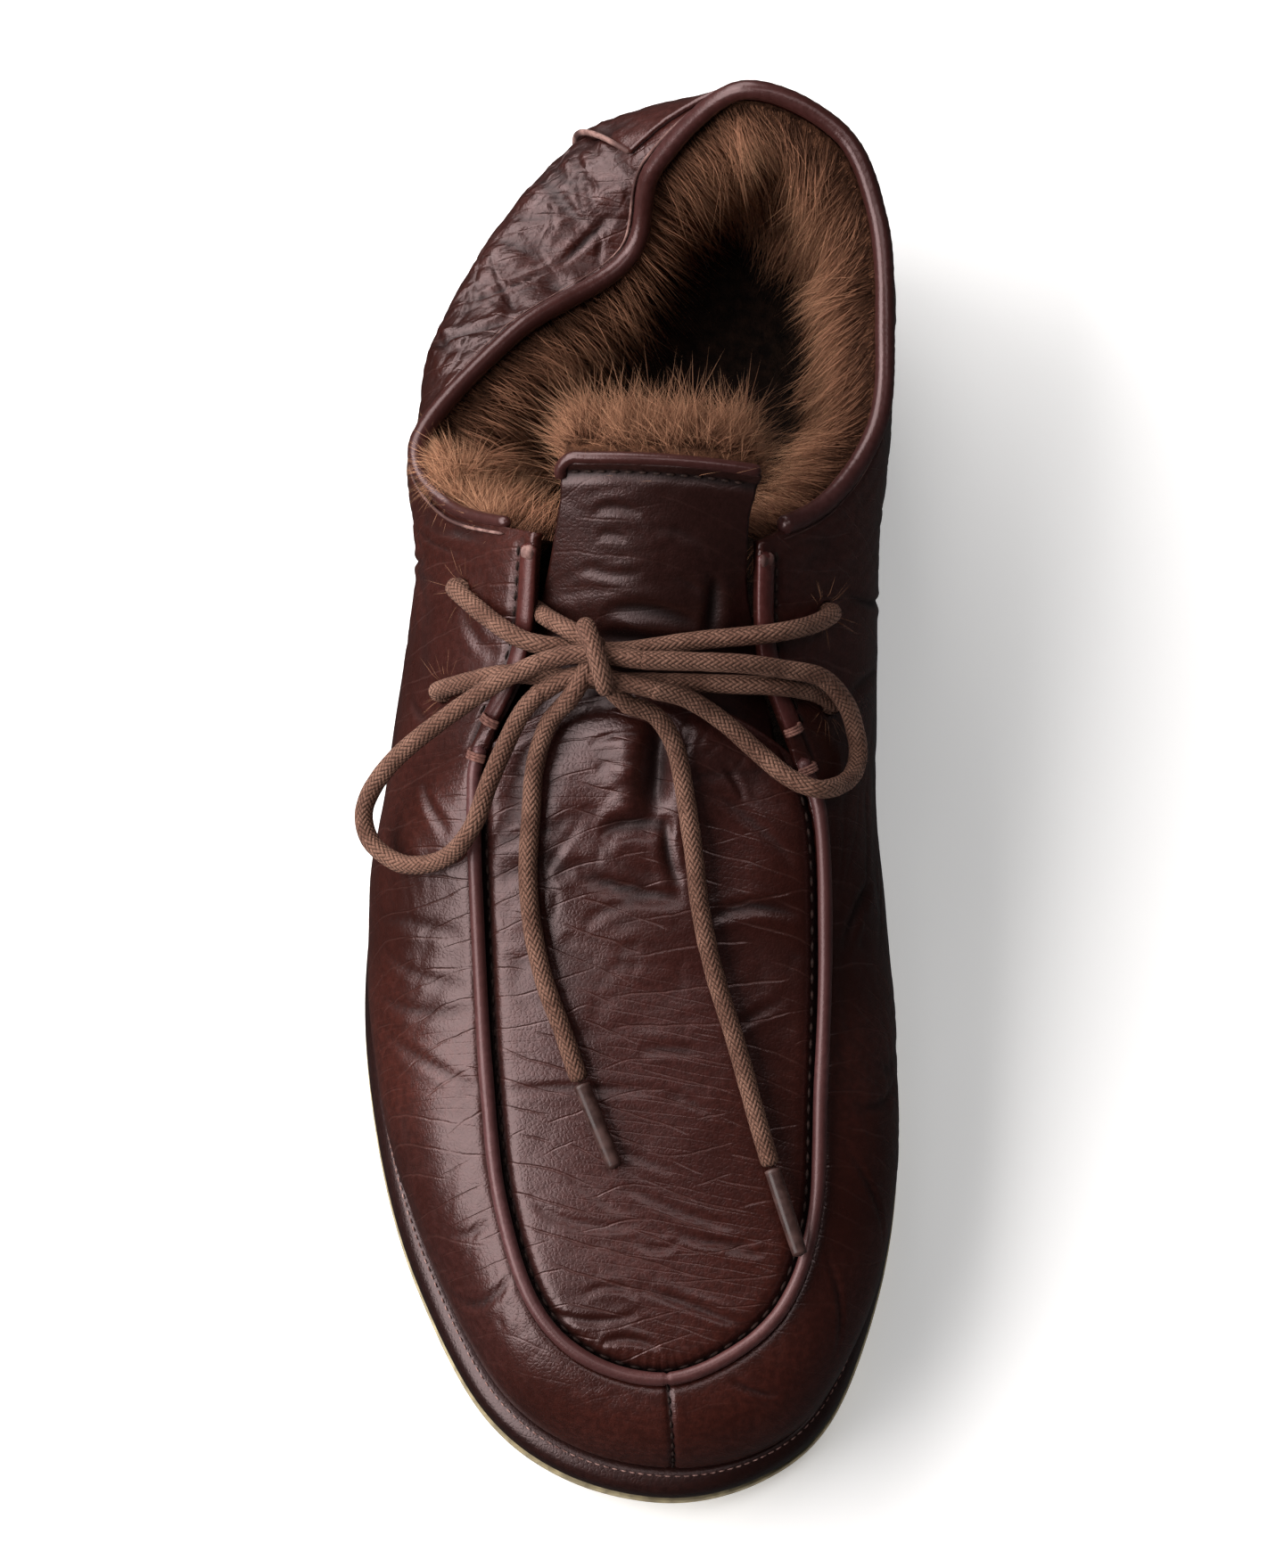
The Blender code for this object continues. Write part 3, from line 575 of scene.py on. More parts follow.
# The big-toe side, from the heel back to the toe
MEDIAL = [
    (27.5, 124.5, 2.8, 4.5, 48.0, 28.5, 123.3, 76.5),
    (38.9, 102.0, 2.4, 4.0, 48.0, 37.5, 107.0, 72.5),
    (38.5, 81.0, 2.2, 5.5, 48.0, 40.3, 86.0, 69.5),
    (37.6, 61.0, 2.2, 6.4, 48.0, 40.0, 66.0, 70.0),
    (37.6, 44.0, 2.2, 6.4, 50.0, 31.5, 48.0, 76.5),
    (38.5, 30.0, 2.2, 5.0, 51.0, 18.5, 37.0, 86.0),
    (40.6, 13.0, 2.2, 3.6, 47.0, 20.5, 18.0, 76.3),
    (43.5, -2.0, 2.2, 2.3, 45.0, 28.6, 0.6, 67.3),
    (47.6, -20.0, 2.2, 0.8, 42.0, 33.2, -11.0, 63.0),
    (51.6, -42.0, 2.2, 0.2, 37.0, 35.7, -34.0, 55.0),
    (53.4, -69.0, 2.2, -0.2, 34.0, 36.8, -60.0, 47.3),
    (50.8, -93.0, 2.2, 0.2, 32.0, 37.3, -82.0, 42.5),
    (43.5, -116.0, 3.0, -1.9, 32.0, 33.5, -98.0, 40.2),
    (31.5, -128.3, 3.8, -2.8, 32.0, 25.0, -108.3, 39.0),
]
STATIONS = np.array([*LATERAL, HEEL, *MEDIAL])
TACK, CORNER, HEEL_STATION = 7, 9, 15  # counted down from the end, the same on the big-toe side
CUTS = 24
COLUMNS = len(STATIONS) * CUTS
STATION = np.arange(COLUMNS) / CUTS
print("stations:", len(STATIONS))

# %% Heights of the sole
LENGTH = 268.6
TOE_Y, BACK_Y = -0.4993 * LENGTH, 0.5007 * LENGTH
BALL_Y, HEEL_FLAT_Y = TOE_Y + 0.268 * LENGTH, TOE_Y + 0.916 * LENGTH
OUTSOLE_THICKNESS = 3.0
TOE_STACK, BALL_STACK, HEEL_STACK = 13.0, 15.0, 21.0
TOE_SPRING, HEEL_LIFT = 7.0, 1.5
GAP = 0.35  # between pieces that touch
WALL = 2.0  # thickness of the leather with its backing
print("outsole length %.1f mm" % LENGTH)


def ground(y):
    """Underside of the sole: flat from ball to heel, lifted by a square law at toe and back."""
    toe = np.clip((BALL_Y - y) / (BALL_Y - TOE_Y), 0, 1)
    back = np.clip((y - HEEL_FLAT_Y) / (BACK_Y - HEEL_FLAT_Y), 0, 1)
    return TOE_SPRING * toe**2 + HEEL_LIFT * back**2


def seam_height(y):
    """Seam of upper and sole: the underside plus a stack that eases from toe to ball to heel."""
    toe = np.clip((BALL_Y - y) / (BALL_Y - TOE_Y), 0, 1)
    heel = np.clip((y - BALL_Y) / (BACK_Y - BALL_Y), 0, 1)
    rise = heel * heel * (3 - 2 * heel)
    return ground(y) + BALL_STACK + (TOE_STACK - BALL_STACK) * toe + (HEEL_STACK - BALL_STACK) * rise


# %% Rails
def closed_rail(rows, corners=()):
    """A smooth closed curve through the rows; at a corner the slope is that of the span itself."""
    rows = np.asarray(rows, float)
    before, after = np.roll(rows, 1, axis=0), np.roll(rows, -1, axis=0)
    arrive = (after - before) / 2
    leave = arrive.copy()
    sharp = list(corners)
    arrive[sharp] = (rows - before)[sharp]
    leave[sharp] = (after - rows)[sharp]
    return cubic_spans(rows, after, leave, np.roll(arrive, -1, axis=0), CUTS)


def outward(loop):
    """Horizontal normals of a loop that runs from the toe along the little-toe side."""
    along = np.roll(loop, -1, axis=0) - np.roll(loop, 1, axis=0)
    return unit(np.stack([-along[:, 1], along[:, 0]], axis=1))


SOLE_LINE = closed_rail(STATIONS[:, :2])
SOLE_OUT = outward(SOLE_LINE)
SEAM_IN = closed_rail(STATIONS[:, 2:3])
SEAM_PLAN = SOLE_LINE - SOLE_OUT * SEAM_IN
SEAM = np.column_stack([SEAM_PLAN, seam_height(SEAM_PLAN[:, 1]) + GAP])
BELLY_PLAN = SEAM_PLAN + SOLE_OUT * closed_rail(STATIONS[:, 3:4])
BELLY = np.column_stack([BELLY_PLAN, closed_rail(STATIONS[:, 4:5])])
TOP_EDGE = closed_rail(STATIONS[:, 5:8], (CORNER, len(STATIONS) - CORNER))
SHOULDER = 2 * BELLY - (SEAM + TOP_EDGE) / 2
print("columns round the foot:", COLUMNS)


def wall(share):
    """Outer face of the wall: in each column a parabola from the seam over the belly to the edge."""
    v = np.asarray(share, float)[None, :, None]
    seam, shoulder, top = (rail[:, None] for rail in (SEAM, SHOULDER, TOP_EDGE))
    return (1 - v) ** 2 * seam + 2 * v * (1 - v) * shoulder + v**2 * top


def grid_normals(grid, around=True):
    """Normals of a grid whose columns run round the foot: upward step crossed with onward step."""
    onward = np.gradient(grid, axis=0)
    if around:
        onward = (np.roll(grid, -1, axis=0) - np.roll(grid, 1, axis=0)) / 2
    return unit(np.cross(np.gradient(grid, axis=1), onward))


def edge_frame(columns):
    """Along the top edge: its places, the way out of the leather's edge and the outer normal."""
    place = TOP_EDGE[columns]
    along = unit(np.gradient(place, axis=0))
    rise = place - SHOULDER[columns]
    normal = unit(np.cross(rise, along))
    away = unit(rise - np.sum(rise * along, axis=1, keepdims=True) * along)
    return place, away, normal, along


# %% [markdown]
# ## Creases
# Soft leather keeps every fold it has ever made. Most ends of the main creases were picked by eye
# on the photo and carried to the leather through the camera by a small program; those that the
# photo hides are guessed. Each crease is an arc between two ends, with a bow, a half width and a
# depth given one by one. It is a trough with the bell curve as its section and a low ridge on both
# sides. The finest wrinkles follow the lines where a stretched noise passes through zero, which
# wander and fork as real ones do.

# %% Tables of creases
# Apron: x, y of one end, x, y of the other, bow of the arc, half width, depth
APRON_CREASES = np.array([
    (-8.0, -16.0, 6.0, -14.6, 1.0, 1.3, 1.5), (-11.6, -23.6, 8.8, -27.1, -1.0, 1.0, 1.0),
    (13.7, -30.2, 30.9, -28.0, 1.8, 0.9, 0.9), (-10.0, -33.0, 3.4, -27.8, 1.2, 0.8, 0.6),
    (-18.6, -26.1, -6.9, -21.0, 0.6, 0.7, 0.5), (-16.8, -35.4, -9.3, -36.1, 0.3, 0.5, 0.35),
    (-8.7, -36.6, 3.4, -37.3, 0.5, 0.5, 0.35), (-8.4, -39.7, 6.3, -39.6, -0.5, 0.5, 0.4),
    (-7.2, -46.4, 8.1, -44.5, 0.5, 0.5, 0.35), (2.0, 5.1, 1.8, -13.2, 0.0, 2.5, 3.0),
    (4.4, -12.4, 8.2, -25.8, -1.2, 1.0, 0.9), (10.6, -6.9, 29.0, -18.8, 1.0, 0.8, 0.6),
    (14.4, -2.6, 18.9, -8.5, 0.4, 0.6, 0.5), (-18.2, -24.7, -11.4, -14.6, 0.6, 0.6, 0.4),
    (-11.1, -0.5, 0.2, 1.9, 0.8, 0.6, 0.4), (-9.5, -4.8, 0.4, -3.3, 0.8, 0.6, 0.4),
    (-7.7, -9.7, 1.4, -7.0, 0.8, 0.6, 0.45), (-23.6, -63.4, 6.5, -62.4, 0.4, 0.7, 0.6),
    (7.3, -62.4, 16.8, -65.8, 0.5, 0.6, 0.45), (1.9, -55.3, 14.1, -54.7, 0.6, 0.7, 0.6),
    (-6.9, -52.6, 14.8, -48.1, 0.2, 0.5, 0.35), (20.4, -49.3, 29.5, -43.5, 0.4, 0.7, 0.5),
    (-0.7, -73.1, 10.2, -76.5, -0.3, 0.6, 0.4), (0.9, -79.7, 21.7, -86.1, -0.9, 0.7, 0.5),
    (11.2, -87.7, 26.5, -88.8, -1.0, 0.7, 0.55), (-15.9, -84.3, 4.4, -86.7, -2.0, 0.7, 0.45),
    (-9.6, -78.9, 1.4, -85.1, -0.3, 0.5, 0.35), (5.0, -98.2, 26.9, -104.5, 0.0, 0.8, 0.6),
    (-12.1, -103.7, 5.3, -103.5, -1.6, 0.7, 0.45), (-5.4, -100.7, 5.2, -100.4, 1.8, 0.6, 0.4),
    (-1.4, -109.2, 9.9, -109.6, 1.2, 0.7, 0.45), (3.0, -89.4, 12.5, -89.3, -2.0, 0.6, 0.35),
    (20.6, -90.5, 28.6, -90.6, 0.0, 0.6, 0.4),
])
# Wall: station and share of height of one end, the same of the other, bow, half width, depth
WALL_CREASES = np.array([
    (2.79, 0.31, 2.42, 0.93, 1.0, 0.8, 0.7), (29.17, 0.88, 28.5, 0.64, 0.6, 0.8, 0.6),
    (5.08, 0.44, 4.62, 0.96, 1.0, 0.8, 0.6), (4.79, 0.44, 4.08, 0.95, -1.0, 0.8, 0.6),
    (3.12, 0.61, 2.96, 0.90, 0.6, 0.7, 0.5), (5.67, 0.46, 5.12, 0.95, -1.0, 0.8, 0.5),
    (5.42, 0.48, 4.79, 0.95, 0.8, 0.7, 0.5), (6.83, 0.75, 5.92, 0.90, 0.8, 0.8, 0.6),
    (8.12, 0.54, 7.58, 0.71, 0.6, 0.8, 0.6), (23.96, 0.62, 24.83, 0.89, 1.0, 1.0, 0.8),
    (9.96, 0.56, 8.62, 0.64, 2.0, 1.0, 0.35), (8.67, 0.78, 8.04, 0.93, 0.8, 0.7, 0.5),
    (13.83, 0.53, 13.58, 0.89, 1.0, 1.0, 0.9), (13.67, 0.50, 13.21, 0.91, -2.7, 1.0, 1.0),
    (13.46, 0.49, 13.38, 0.86, 1.8, 0.9, 0.8), (13.21, 0.56, 12.88, 0.86, -1.5, 1.0, 0.9),
    (13.29, 0.69, 12.96, 0.89, 0.5, 0.8, 0.7), (13.0, 0.55, 12.88, 0.85, 0.5, 0.7, 0.6),
    (12.67, 0.81, 12.29, 0.97, 1.0, 0.9, 0.7), (12.67, 0.76, 12.17, 0.95, -1.0, 0.7, 0.6),
    (12.79, 0.88, 12.5, 1.0, 0.5, 0.9, 0.8), (12.71, 0.58, 12.88, 0.89, 3.8, 0.6, 1.0),
    (12.88, 0.89, 13.38, 0.94, -0.5, 0.6, 1.0), (14.08, 0.59, 13.83, 0.85, 0.6, 0.8, 0.6),
    (13.92, 0.66, 13.58, 0.88, 0.5, 0.8, 0.7), (14.21, 0.61, 13.96, 0.88, 0.4, 0.8, 0.6),
    (13.67, 0.83, 13.33, 0.94, 0.6, 0.7, 0.6), (12.25, 0.56, 12.17, 1.0, 1.6, 1.3, 1.1),
    (12.4, 0.55, 11.9, 0.85, 1.0, 1.1, 0.8), (11.4, 0.45, 10.7, 0.75, 2.0, 1.2, 0.7),
    (10.4, 0.35, 9.6, 0.62, 1.5, 1.1, 0.7), (20.2, 0.35, 20.9, 0.72, -1.5, 1.2, 0.8),
    (21.3, 0.40, 21.9, 0.66, 1.0, 1.0, 0.6), (18.6, 0.30, 19.4, 0.60, 1.5, 1.3, 0.7),
    (16.9, 0.35, 17.6, 0.62, -1.5, 1.3, 0.7), (26.6, 0.45, 26.2, 0.88, 1.0, 0.8, 0.5),
    (25.4, 0.40, 25.9, 0.85, -1.0, 0.9, 0.6), (27.6, 0.50, 27.2, 0.90, 1.0, 0.8, 0.5),
])
STATION_LENGTH, WALL_HEIGHT = 24.0, 55.0  # mean sizes that turn station and share into millimetres
print("creases:", len(APRON_CREASES), "on the apron,", len(WALL_CREASES), "on the wall")


# %% Crease relief
RIDGE_OFF, RIDGE_WIDTH, RIDGE_HEIGHT = 2.1, 1.2, 0.33  # for a crease of width and depth 1


def crease_relief(places, table):
    """Relief and trough share at flat places: for each arc, d is the distance across it, the
    trough is -depth*exp(-(d/w)^2), and ridges of a third of the depth stand 2 widths away."""
    relief = np.zeros(places.shape[:-1])
    trough = np.zeros(places.shape[:-1])
    for x0, y0, x1, y1, bow, width, depth in table:
        way = np.array((x1 - x0, y1 - y0))
        reach = np.linalg.norm(way)
        along = (places - (x0, y0)) @ way / reach**2
        across = (places - (x0, y0)) @ np.array((-way[1], way[0])) / reach
        inside = np.clip(along, 0, 1)
        fade = np.clip(4 * inside * (1 - inside), 0, 1) ** 0.6
        d = np.hypot(across - bow * 4 * inside * (1 - inside), (along - inside) * reach)
        dip = bell(d, width) * fade
        ridge = bell(d - RIDGE_OFF * width, RIDGE_WIDTH * width) * fade
        relief += depth * (RIDGE_HEIGHT * ridge - dip)
        trough = np.maximum(trough, dip * min(1.0, depth))
    return relief, trough


WRINKLE_LINE = 0.16  # how near to zero the noise is on a wrinkle


def wrinkles(places, seed, long, short, turn):
    """Fine creases of one direction: bell-shaped lines along the zeros of a noise whose lattice is
    stretched, long along the creases and short across them."""
    c, s = np.cos(turn), np.sin(turn)
    x, y = places[..., 0], places[..., 1]
    cells = np.stack([(x * c + y * s) / long, (y * c - x * s) / short, np.full_like(x, seed)], -1)
    return bell(lattice_noise(cells + 200.0, seed), WRINKLE_LINE)


# %% [markdown]
# ## Leather
# The upper is a soft, oiled calf: dark red-brown with violet and warmer patches, a fine pebble
# and a satin gloss. One function makes all the leathers, because they differ only in colour and
# in how coarse and how shiny they are. Bump carries the pebble, the hair-fine crease lines and the
# crumples of the slumped quarter, too small for the mesh. Values that the wall leaves on its points
# say where these show and where painted shade darkens the troughs of the creases. The crease lines
# also get a pale tint, partly worn finish and partly painted highlight.


# %% Leather finish
def crease_lines(tree, coords, turn, spacing, sway, width):
    """Hair-fine creases across the shoe: lines an even spacing apart, swayed by a noise of two sizes;
    1 on a line, 0 beside it."""
    laid = add_node(tree, "Mapping", {"Vector": coords, "Rotation": turn}).outputs[0]
    along = add_node(tree, "SeparateXYZ", {0: laid}).outputs[1]
    slow = noise(tree, laid, 24.0, 1.0)
    quick = noise(tree, laid, 150.0, 2.0)
    phase = count(tree, "MULTIPLY_ADD", along, 1.0 / spacing, count(tree, "MULTIPLY", slow, sway))
    phase = count(tree, "MULTIPLY_ADD", quick, 0.09 * sway, phase)
    off = count(tree, "ABSOLUTE", count(tree, "SUBTRACT", count(tree, "FRACT", phase), 0.5))
    return spread(tree, off, 0.0, width / spacing, 1.0, 0.0)


def crumple(tree, coords, scale, sway):
    """Flat lumps with narrow furrows between them: cells whose walls are swayed by a noise; 0 in a
    furrow, 1 on a lump."""
    drift = add_node(tree, "TexNoise", {"Vector": coords, "Scale": 0.5 * scale, "Detail": 1.0}).outputs[1]
    drift = add_node(tree, "VectorMath", {0: drift, "Scale": sway / scale}, operation="SCALE").outputs[0]
    laid = add_node(tree, "VectorMath", {0: coords, 1: drift}, operation="ADD").outputs[0]
    cells = cell_walls(tree, laid, scale)
    return spread(tree, cells, 0.0, 0.16)


SHEEN_TINT = (1.0, 0.76, 0.76, 1.0)  # the dye tints even the mirrored light


def leather(name, dark, warm, violet, pebble=1.0, net=1.0, gloss=0.29):
    """Colour from two slow noises and a fine grain, with painted shade in troughs and furrows and a pale
    tint on the fine creases that is partly worn finish and partly painted highlight; bump from a cell
    pattern, three families of fine creases where a noise lets them show, and crumpled lumps."""
    made, tree, shader = new_finish(name, {
        "Coat Weight": 0.06, "Coat Roughness": 0.2, "Specular IOR Level": 0.54,
        "Specular Tint": SHEEN_TINT,
    })
    coords = object_places(tree)
    cells = cell_walls(tree, coords, 1150.0)
    grain = noise(tree, coords, 800.0, 3.0)
    patches = noise(tree, coords, 26.0, 3.0)
    tint = add_node(tree, "TexNoise", {"Vector": coords, "Scale": 13.0, "Detail": 2.0}).outputs[1]
    tint = add_node(tree, "SeparateColor", {"Color": tint}).outputs[1]
    shown = noise(tree, coords, 75.0, 2.0)
    trough = kept_value(tree, "trough")
    first = crease_lines(tree, coords, (0.15, 0.0, 0.2), 0.0046, 2.4, 0.0003)
    second = crease_lines(tree, coords, (0.0, 0.1, -0.28), 0.0058, 2.8, 0.0003)
    hair = crease_lines(tree, coords, (0.1, -0.1, 0.05), 0.0021, 3.0, 0.00022)
    first = count(tree, "MULTIPLY", first, spread(tree, shown, 0.42, 0.6))
    second = count(tree, "MULTIPLY", second, spread(tree, shown, 0.58, 0.4))
    hair = count(tree, "MULTIPLY", hair, spread(tree, patches, 0.42, 0.62, 0.0, 0.3))
    lines = count(tree, "MAXIMUM", count(tree, "MAXIMUM", first, second), hair)
    lines = count(tree, "MULTIPLY", lines, kept_value(tree, "creased"))
    crumpled = kept_value(tree, "crumpled")
    lumps = crumple(tree, coords, 105.0, 1.0)
    furrows = count(tree, "MULTIPLY", count(tree, "SUBTRACT", 1.0, lumps), crumpled)
    lumps = count(tree, "MULTIPLY_ADD", crumple(tree, coords, 260.0, 0.8), 0.2, lumps)

    base = blend_colours(tree, spread(tree, patches, 0.3, 0.7), dark, warm)
    base = blend_colours(tree, spread(tree, tint, 0.42, 0.68, 0.0, 0.7), base, violet)
    base = blend_colours(tree, spread(tree, grain, 0.35, 0.68, 0.6, 0.0), base, dark)
    # Pale tint on the fine crease lines: partly worn finish, partly painted highlight where their edges
    # glint.
    base = blend_colours(tree, count(tree, "MULTIPLY", lines, 0.09 * net), base, (0.2, 0.09, 0.075))
    # Painted shade: the colour darkens in crease troughs and in the furrows between crumpled lumps.
    furrows = count(tree, "MULTIPLY", furrows, 0.4)
    shade = count(tree, "MAXIMUM", spread(tree, trough, 0.1, 1.0, 0.0, 0.9), furrows)
    base = blend_colours(tree, shade, base, tuple(0.15 * c for c in dark))
    paint(tree, shader, base)

    rough = count(tree, "MULTIPLY_ADD", patches, 0.16, gloss - 0.08)
    rough = count(tree, "MULTIPLY_ADD", trough, 0.3, rough)
    tree.links.new(rough, shader.inputs["Roughness"])
    height = count(tree, "MULTIPLY", spread(tree, cells, 0.0, 0.28), 0.1 * pebble)
    height = count(tree, "MULTIPLY_ADD", grain, 0.16 * pebble, height)
    height = count(tree, "MULTIPLY_ADD", lines, -0.65 * net, height)
    raise_bump(tree, shader, height, 0.6, 0.0003)
    raise_bump(tree, shader, count(tree, "MULTIPLY", lumps, crumpled), 0.6, 0.0006)
    return made


# Three colours, then the strength of the pebble and of the crease lines, and the roughness
UPPER_LEATHER = leather(
    "upper_leather", (0.018, 0.0036, 0.0022), (0.047, 0.0098, 0.0062), (0.04, 0.0115, 0.0098)
)
# The tongue's leather is the upper's with colours darkened to about 0.6 and a rougher gloss: the darker
# colour is painted shade, as the tongue lies in shade under the lace.
TONGUE_LEATHER_PAINTED_SHADE = leather(
    "tongue_leather", (0.011, 0.003, 0.002), (0.028, 0.007, 0.005), (0.022, 0.007, 0.006), 1.0, 0.3, 0.34
)
BAND_LEATHER = leather(
    "band_leather", (0.009, 0.0026, 0.0021), (0.022, 0.006, 0.0045), (0.018, 0.0065, 0.006), 1.0, 0.4, 0.32
)
PIPING_LEATHER = leather(
    "piping_leather", (0.05, 0.016, 0.015), (0.085, 0.03, 0.028), (0.1, 0.04, 0.042), 0.6, 0.1, 0.4
)
ROLL_LEATHER = leather(
    "roll_leather", (0.03, 0.0085, 0.007), (0.052, 0.0155, 0.0135), (0.055, 0.021, 0.021), 0.6, 0.15, 0.3
)
EDGE_LEATHER = leather(
    "edge_leather", (0.04, 0.008, 0.0065), (0.075, 0.017, 0.0135), (0.07, 0.02, 0.019), 0.7, 0.15, 0.36
)

# %% [markdown]
# ## The wall of the upper
# Quarters and vamp are one strip of leather that goes right round the foot, closed by a seam at
# the toe. It could be a solid with a thickness modifier, but the hidden inner face needs far
# fewer rows than the outer one. So the rows run up the outer face and down a coarser inner face,
# and the grid closes on itself both ways. The lace holes are then cut right through it.

# %% Wall grid
WALL_ROWS = 84
INNER_ROWS = 9
shares = np.linspace(0, 1, WALL_ROWS)
base = wall(shares)
base_normal = grid_normals(base)
steps = np.linalg.norm(np.diff(base, axis=1), axis=2)
above_seam = np.concatenate([np.zeros((COLUMNS, 1)), np.cumsum(steps, axis=1)], axis=1)
below_edge = above_seam[:, -1:] - above_seam
station, share = np.broadcast_arrays(STATION[:, None], shares[None])
from_toe = np.minimum(station, len(STATIONS) - station)  # the same on both sides


def within(value, low, high, ease):
    """1 between low and high, easing to 0 outside."""
    return np.clip((value - low) / ease + 1, 0, 1) * np.clip((high - value) / ease + 1, 0, 1)


# %% Wall relief
TOE_CALM = 0.35  # share of the wrinkles that the tight leather of the toe keeps
WRINKLE_DEPTH, SWELL_HEIGHT, SLUMP_SWELL = 0.18, 0.4, 0.15
SEAM_EASE = 5.0  # distance from a seam over which the wrinkles grow
SLACK_FROM, SLACK_TO, SLACK_EASE = 11.8, 14.2, 0.8  # stations of the slumped quarter
flat_places = np.stack([station * STATION_LENGTH, share * WALL_HEIGHT], axis=-1)
table = WALL_CREASES * (STATION_LENGTH, WALL_HEIGHT, STATION_LENGTH, WALL_HEIGHT, 1, 1, 1)
relief, trough = crease_relief(flat_places, table)
calm = TOE_CALM + (1 - TOE_CALM) * within(from_toe, 4.5, 14.0, 3.0)
slack = within(station, SLACK_FROM, SLACK_TO, SLACK_EASE) * within(share, 0.45, 1.0, 0.25)
spots = np.clip(0.6 + lattice_noise(base / 26.0 + 40, 5), 0, 1.3)
fine = wrinkles(flat_places, 11, 30.0, 7.0, 1.1) + wrinkles(flat_places, 12, 24.0, 6.0, 2.0)
fine += 0.7 * wrinkles(flat_places, 13, 14.0, 4.0, 1.5)
fine += 1.1 * slack * wrinkles(flat_places, 16, 10.0, 2.8, 0.6)
fine += 1.1 * slack * wrinkles(flat_places, 17, 9.0, 2.6, 2.2)
quarter = within(from_toe, 5.9, 9.6, 0.8) * within(share, 0.3, 0.9, 0.1)
lean = np.where(station < HEEL_STATION, -0.2, 0.2)
lengthwise = wrinkles(flat_places, 14, 40.0, 4.5, lean)
lengthwise = lengthwise + wrinkles(flat_places, 15, 26.0, 3.2, 1.6 * lean)
fine = (1 - 0.8 * quarter) * fine + 1.3 * quarter * lengthwise
edges = np.clip(np.minimum(above_seam, below_edge) / SEAM_EASE, 0, 1)
amount = WRINKLE_DEPTH * calm * spots * edges * (1 + 0.5 * slack)
relief -= amount * fine
trough = np.maximum(trough, np.clip(amount * fine * 1.2, 0, 0.6))
relief += SWELL_HEIGHT * calm * lattice_noise(base / 17.0 + 90, 6) * edges
relief += SLUMP_SWELL * slack * lattice_noise(base / 10.0 + 60, 7)
print("wall relief from %.1f to %.1f mm" % (relief.min(), relief.max()))

# %% Seams in the wall
# Each seam pulls the leather in: depth and half width, or depth, place below the edge and half width
APRON_DIP, SOLE_DIP, TOE_DIP = (1.1, 1.6), (0.9, 1.3), (0.8, 0.7)
FACING_DIP, COLLAR_DIP = (0.8, 4.4, 0.6), (0.5, 1.6, 0.5)
TOE_STATION_LENGTH = 20.0
apron_side = within(from_toe, -1.0, TACK, 0.3)
relief -= APRON_DIP[0] * apron_side * bell(below_edge, APRON_DIP[1])
relief -= SOLE_DIP[0] * bell(above_seam, SOLE_DIP[1])
toe_seam = bell(from_toe * TOE_STATION_LENGTH, TOE_DIP[1])
relief -= TOE_DIP[0] * toe_seam
trough = np.maximum(trough, TOE_DIP[0] * toe_seam)
facing_side = within(from_toe, TACK + 0.15, CORNER - 0.05, 0.15)
facing_seam = facing_side * bell(below_edge - FACING_DIP[1], FACING_DIP[2])
relief -= FACING_DIP[0] * facing_seam
collar_side = within(from_toe, CORNER + 0.15, HEEL_STATION + 0.1, 0.15)
collar_seam = collar_side * bell(below_edge - COLLAR_DIP[1], COLLAR_DIP[2])
relief -= COLLAR_DIP[0] * collar_seam
trough = np.maximum(trough, np.maximum(facing_seam, 0.5 * collar_seam))
outer = base + relief[..., None] * base_normal

# %% Wall mesh
inner_shares = np.linspace(1, 0, INNER_ROWS)
inner = wall(inner_shares)
inner = inner - WALL * grid_normals(inner[:, ::-1])[:, ::-1]
grid = np.concatenate([outer, inner], axis=1)
quads, _ = grid_quads(COLUMNS, grid.shape[1], around=True, over=True)
hidden = np.zeros((COLUMNS, INNER_ROWS))
creased = np.broadcast_to(0.2 + 0.8 * within(from_toe[:, :1], 4.2, 14.0, 2.2), grid.shape[:2])
# The trough values set painted shade in the leather's colour along creases and seams; crumpled says where
# the slumped quarter's lumps stand, with painted shade in the furrows between them.
upper_wall = add_piece(
    "upper_wall", grid.reshape(-1, 3), quads, UPPER_LEATHER, "leather", ("upper",),
    {
        "trough": np.concatenate([trough, hidden], axis=1), "creased": creased,
        "crumpled": np.concatenate([slack * np.clip(spots, 0.3, 1), hidden], axis=1),
    }, merge=True,
)

# %% Lace holes
# station along the facing, share of the wall's height; the big-toe side counts down
LACE_HOLES = {
    "lateral_top": (8.83, 0.78), "lateral_low": (7.93, 0.745),
    "medial_top": (len(STATIONS) - 8.73, 0.78), "medial_low": (len(STATIONS) - 7.83, 0.78),
}
LACE_HOLE_RADIUS = 2.2
PUNCH_DEPTH = 9.0


def on_wall(place, height):
    """The nearest point of the wall's grid to a station and share, and the normal there."""
    column, row = int(round(place * CUTS)) % COLUMNS, int(round(height * (WALL_ROWS - 1)))
    return outer[column, row], base_normal[column, row]


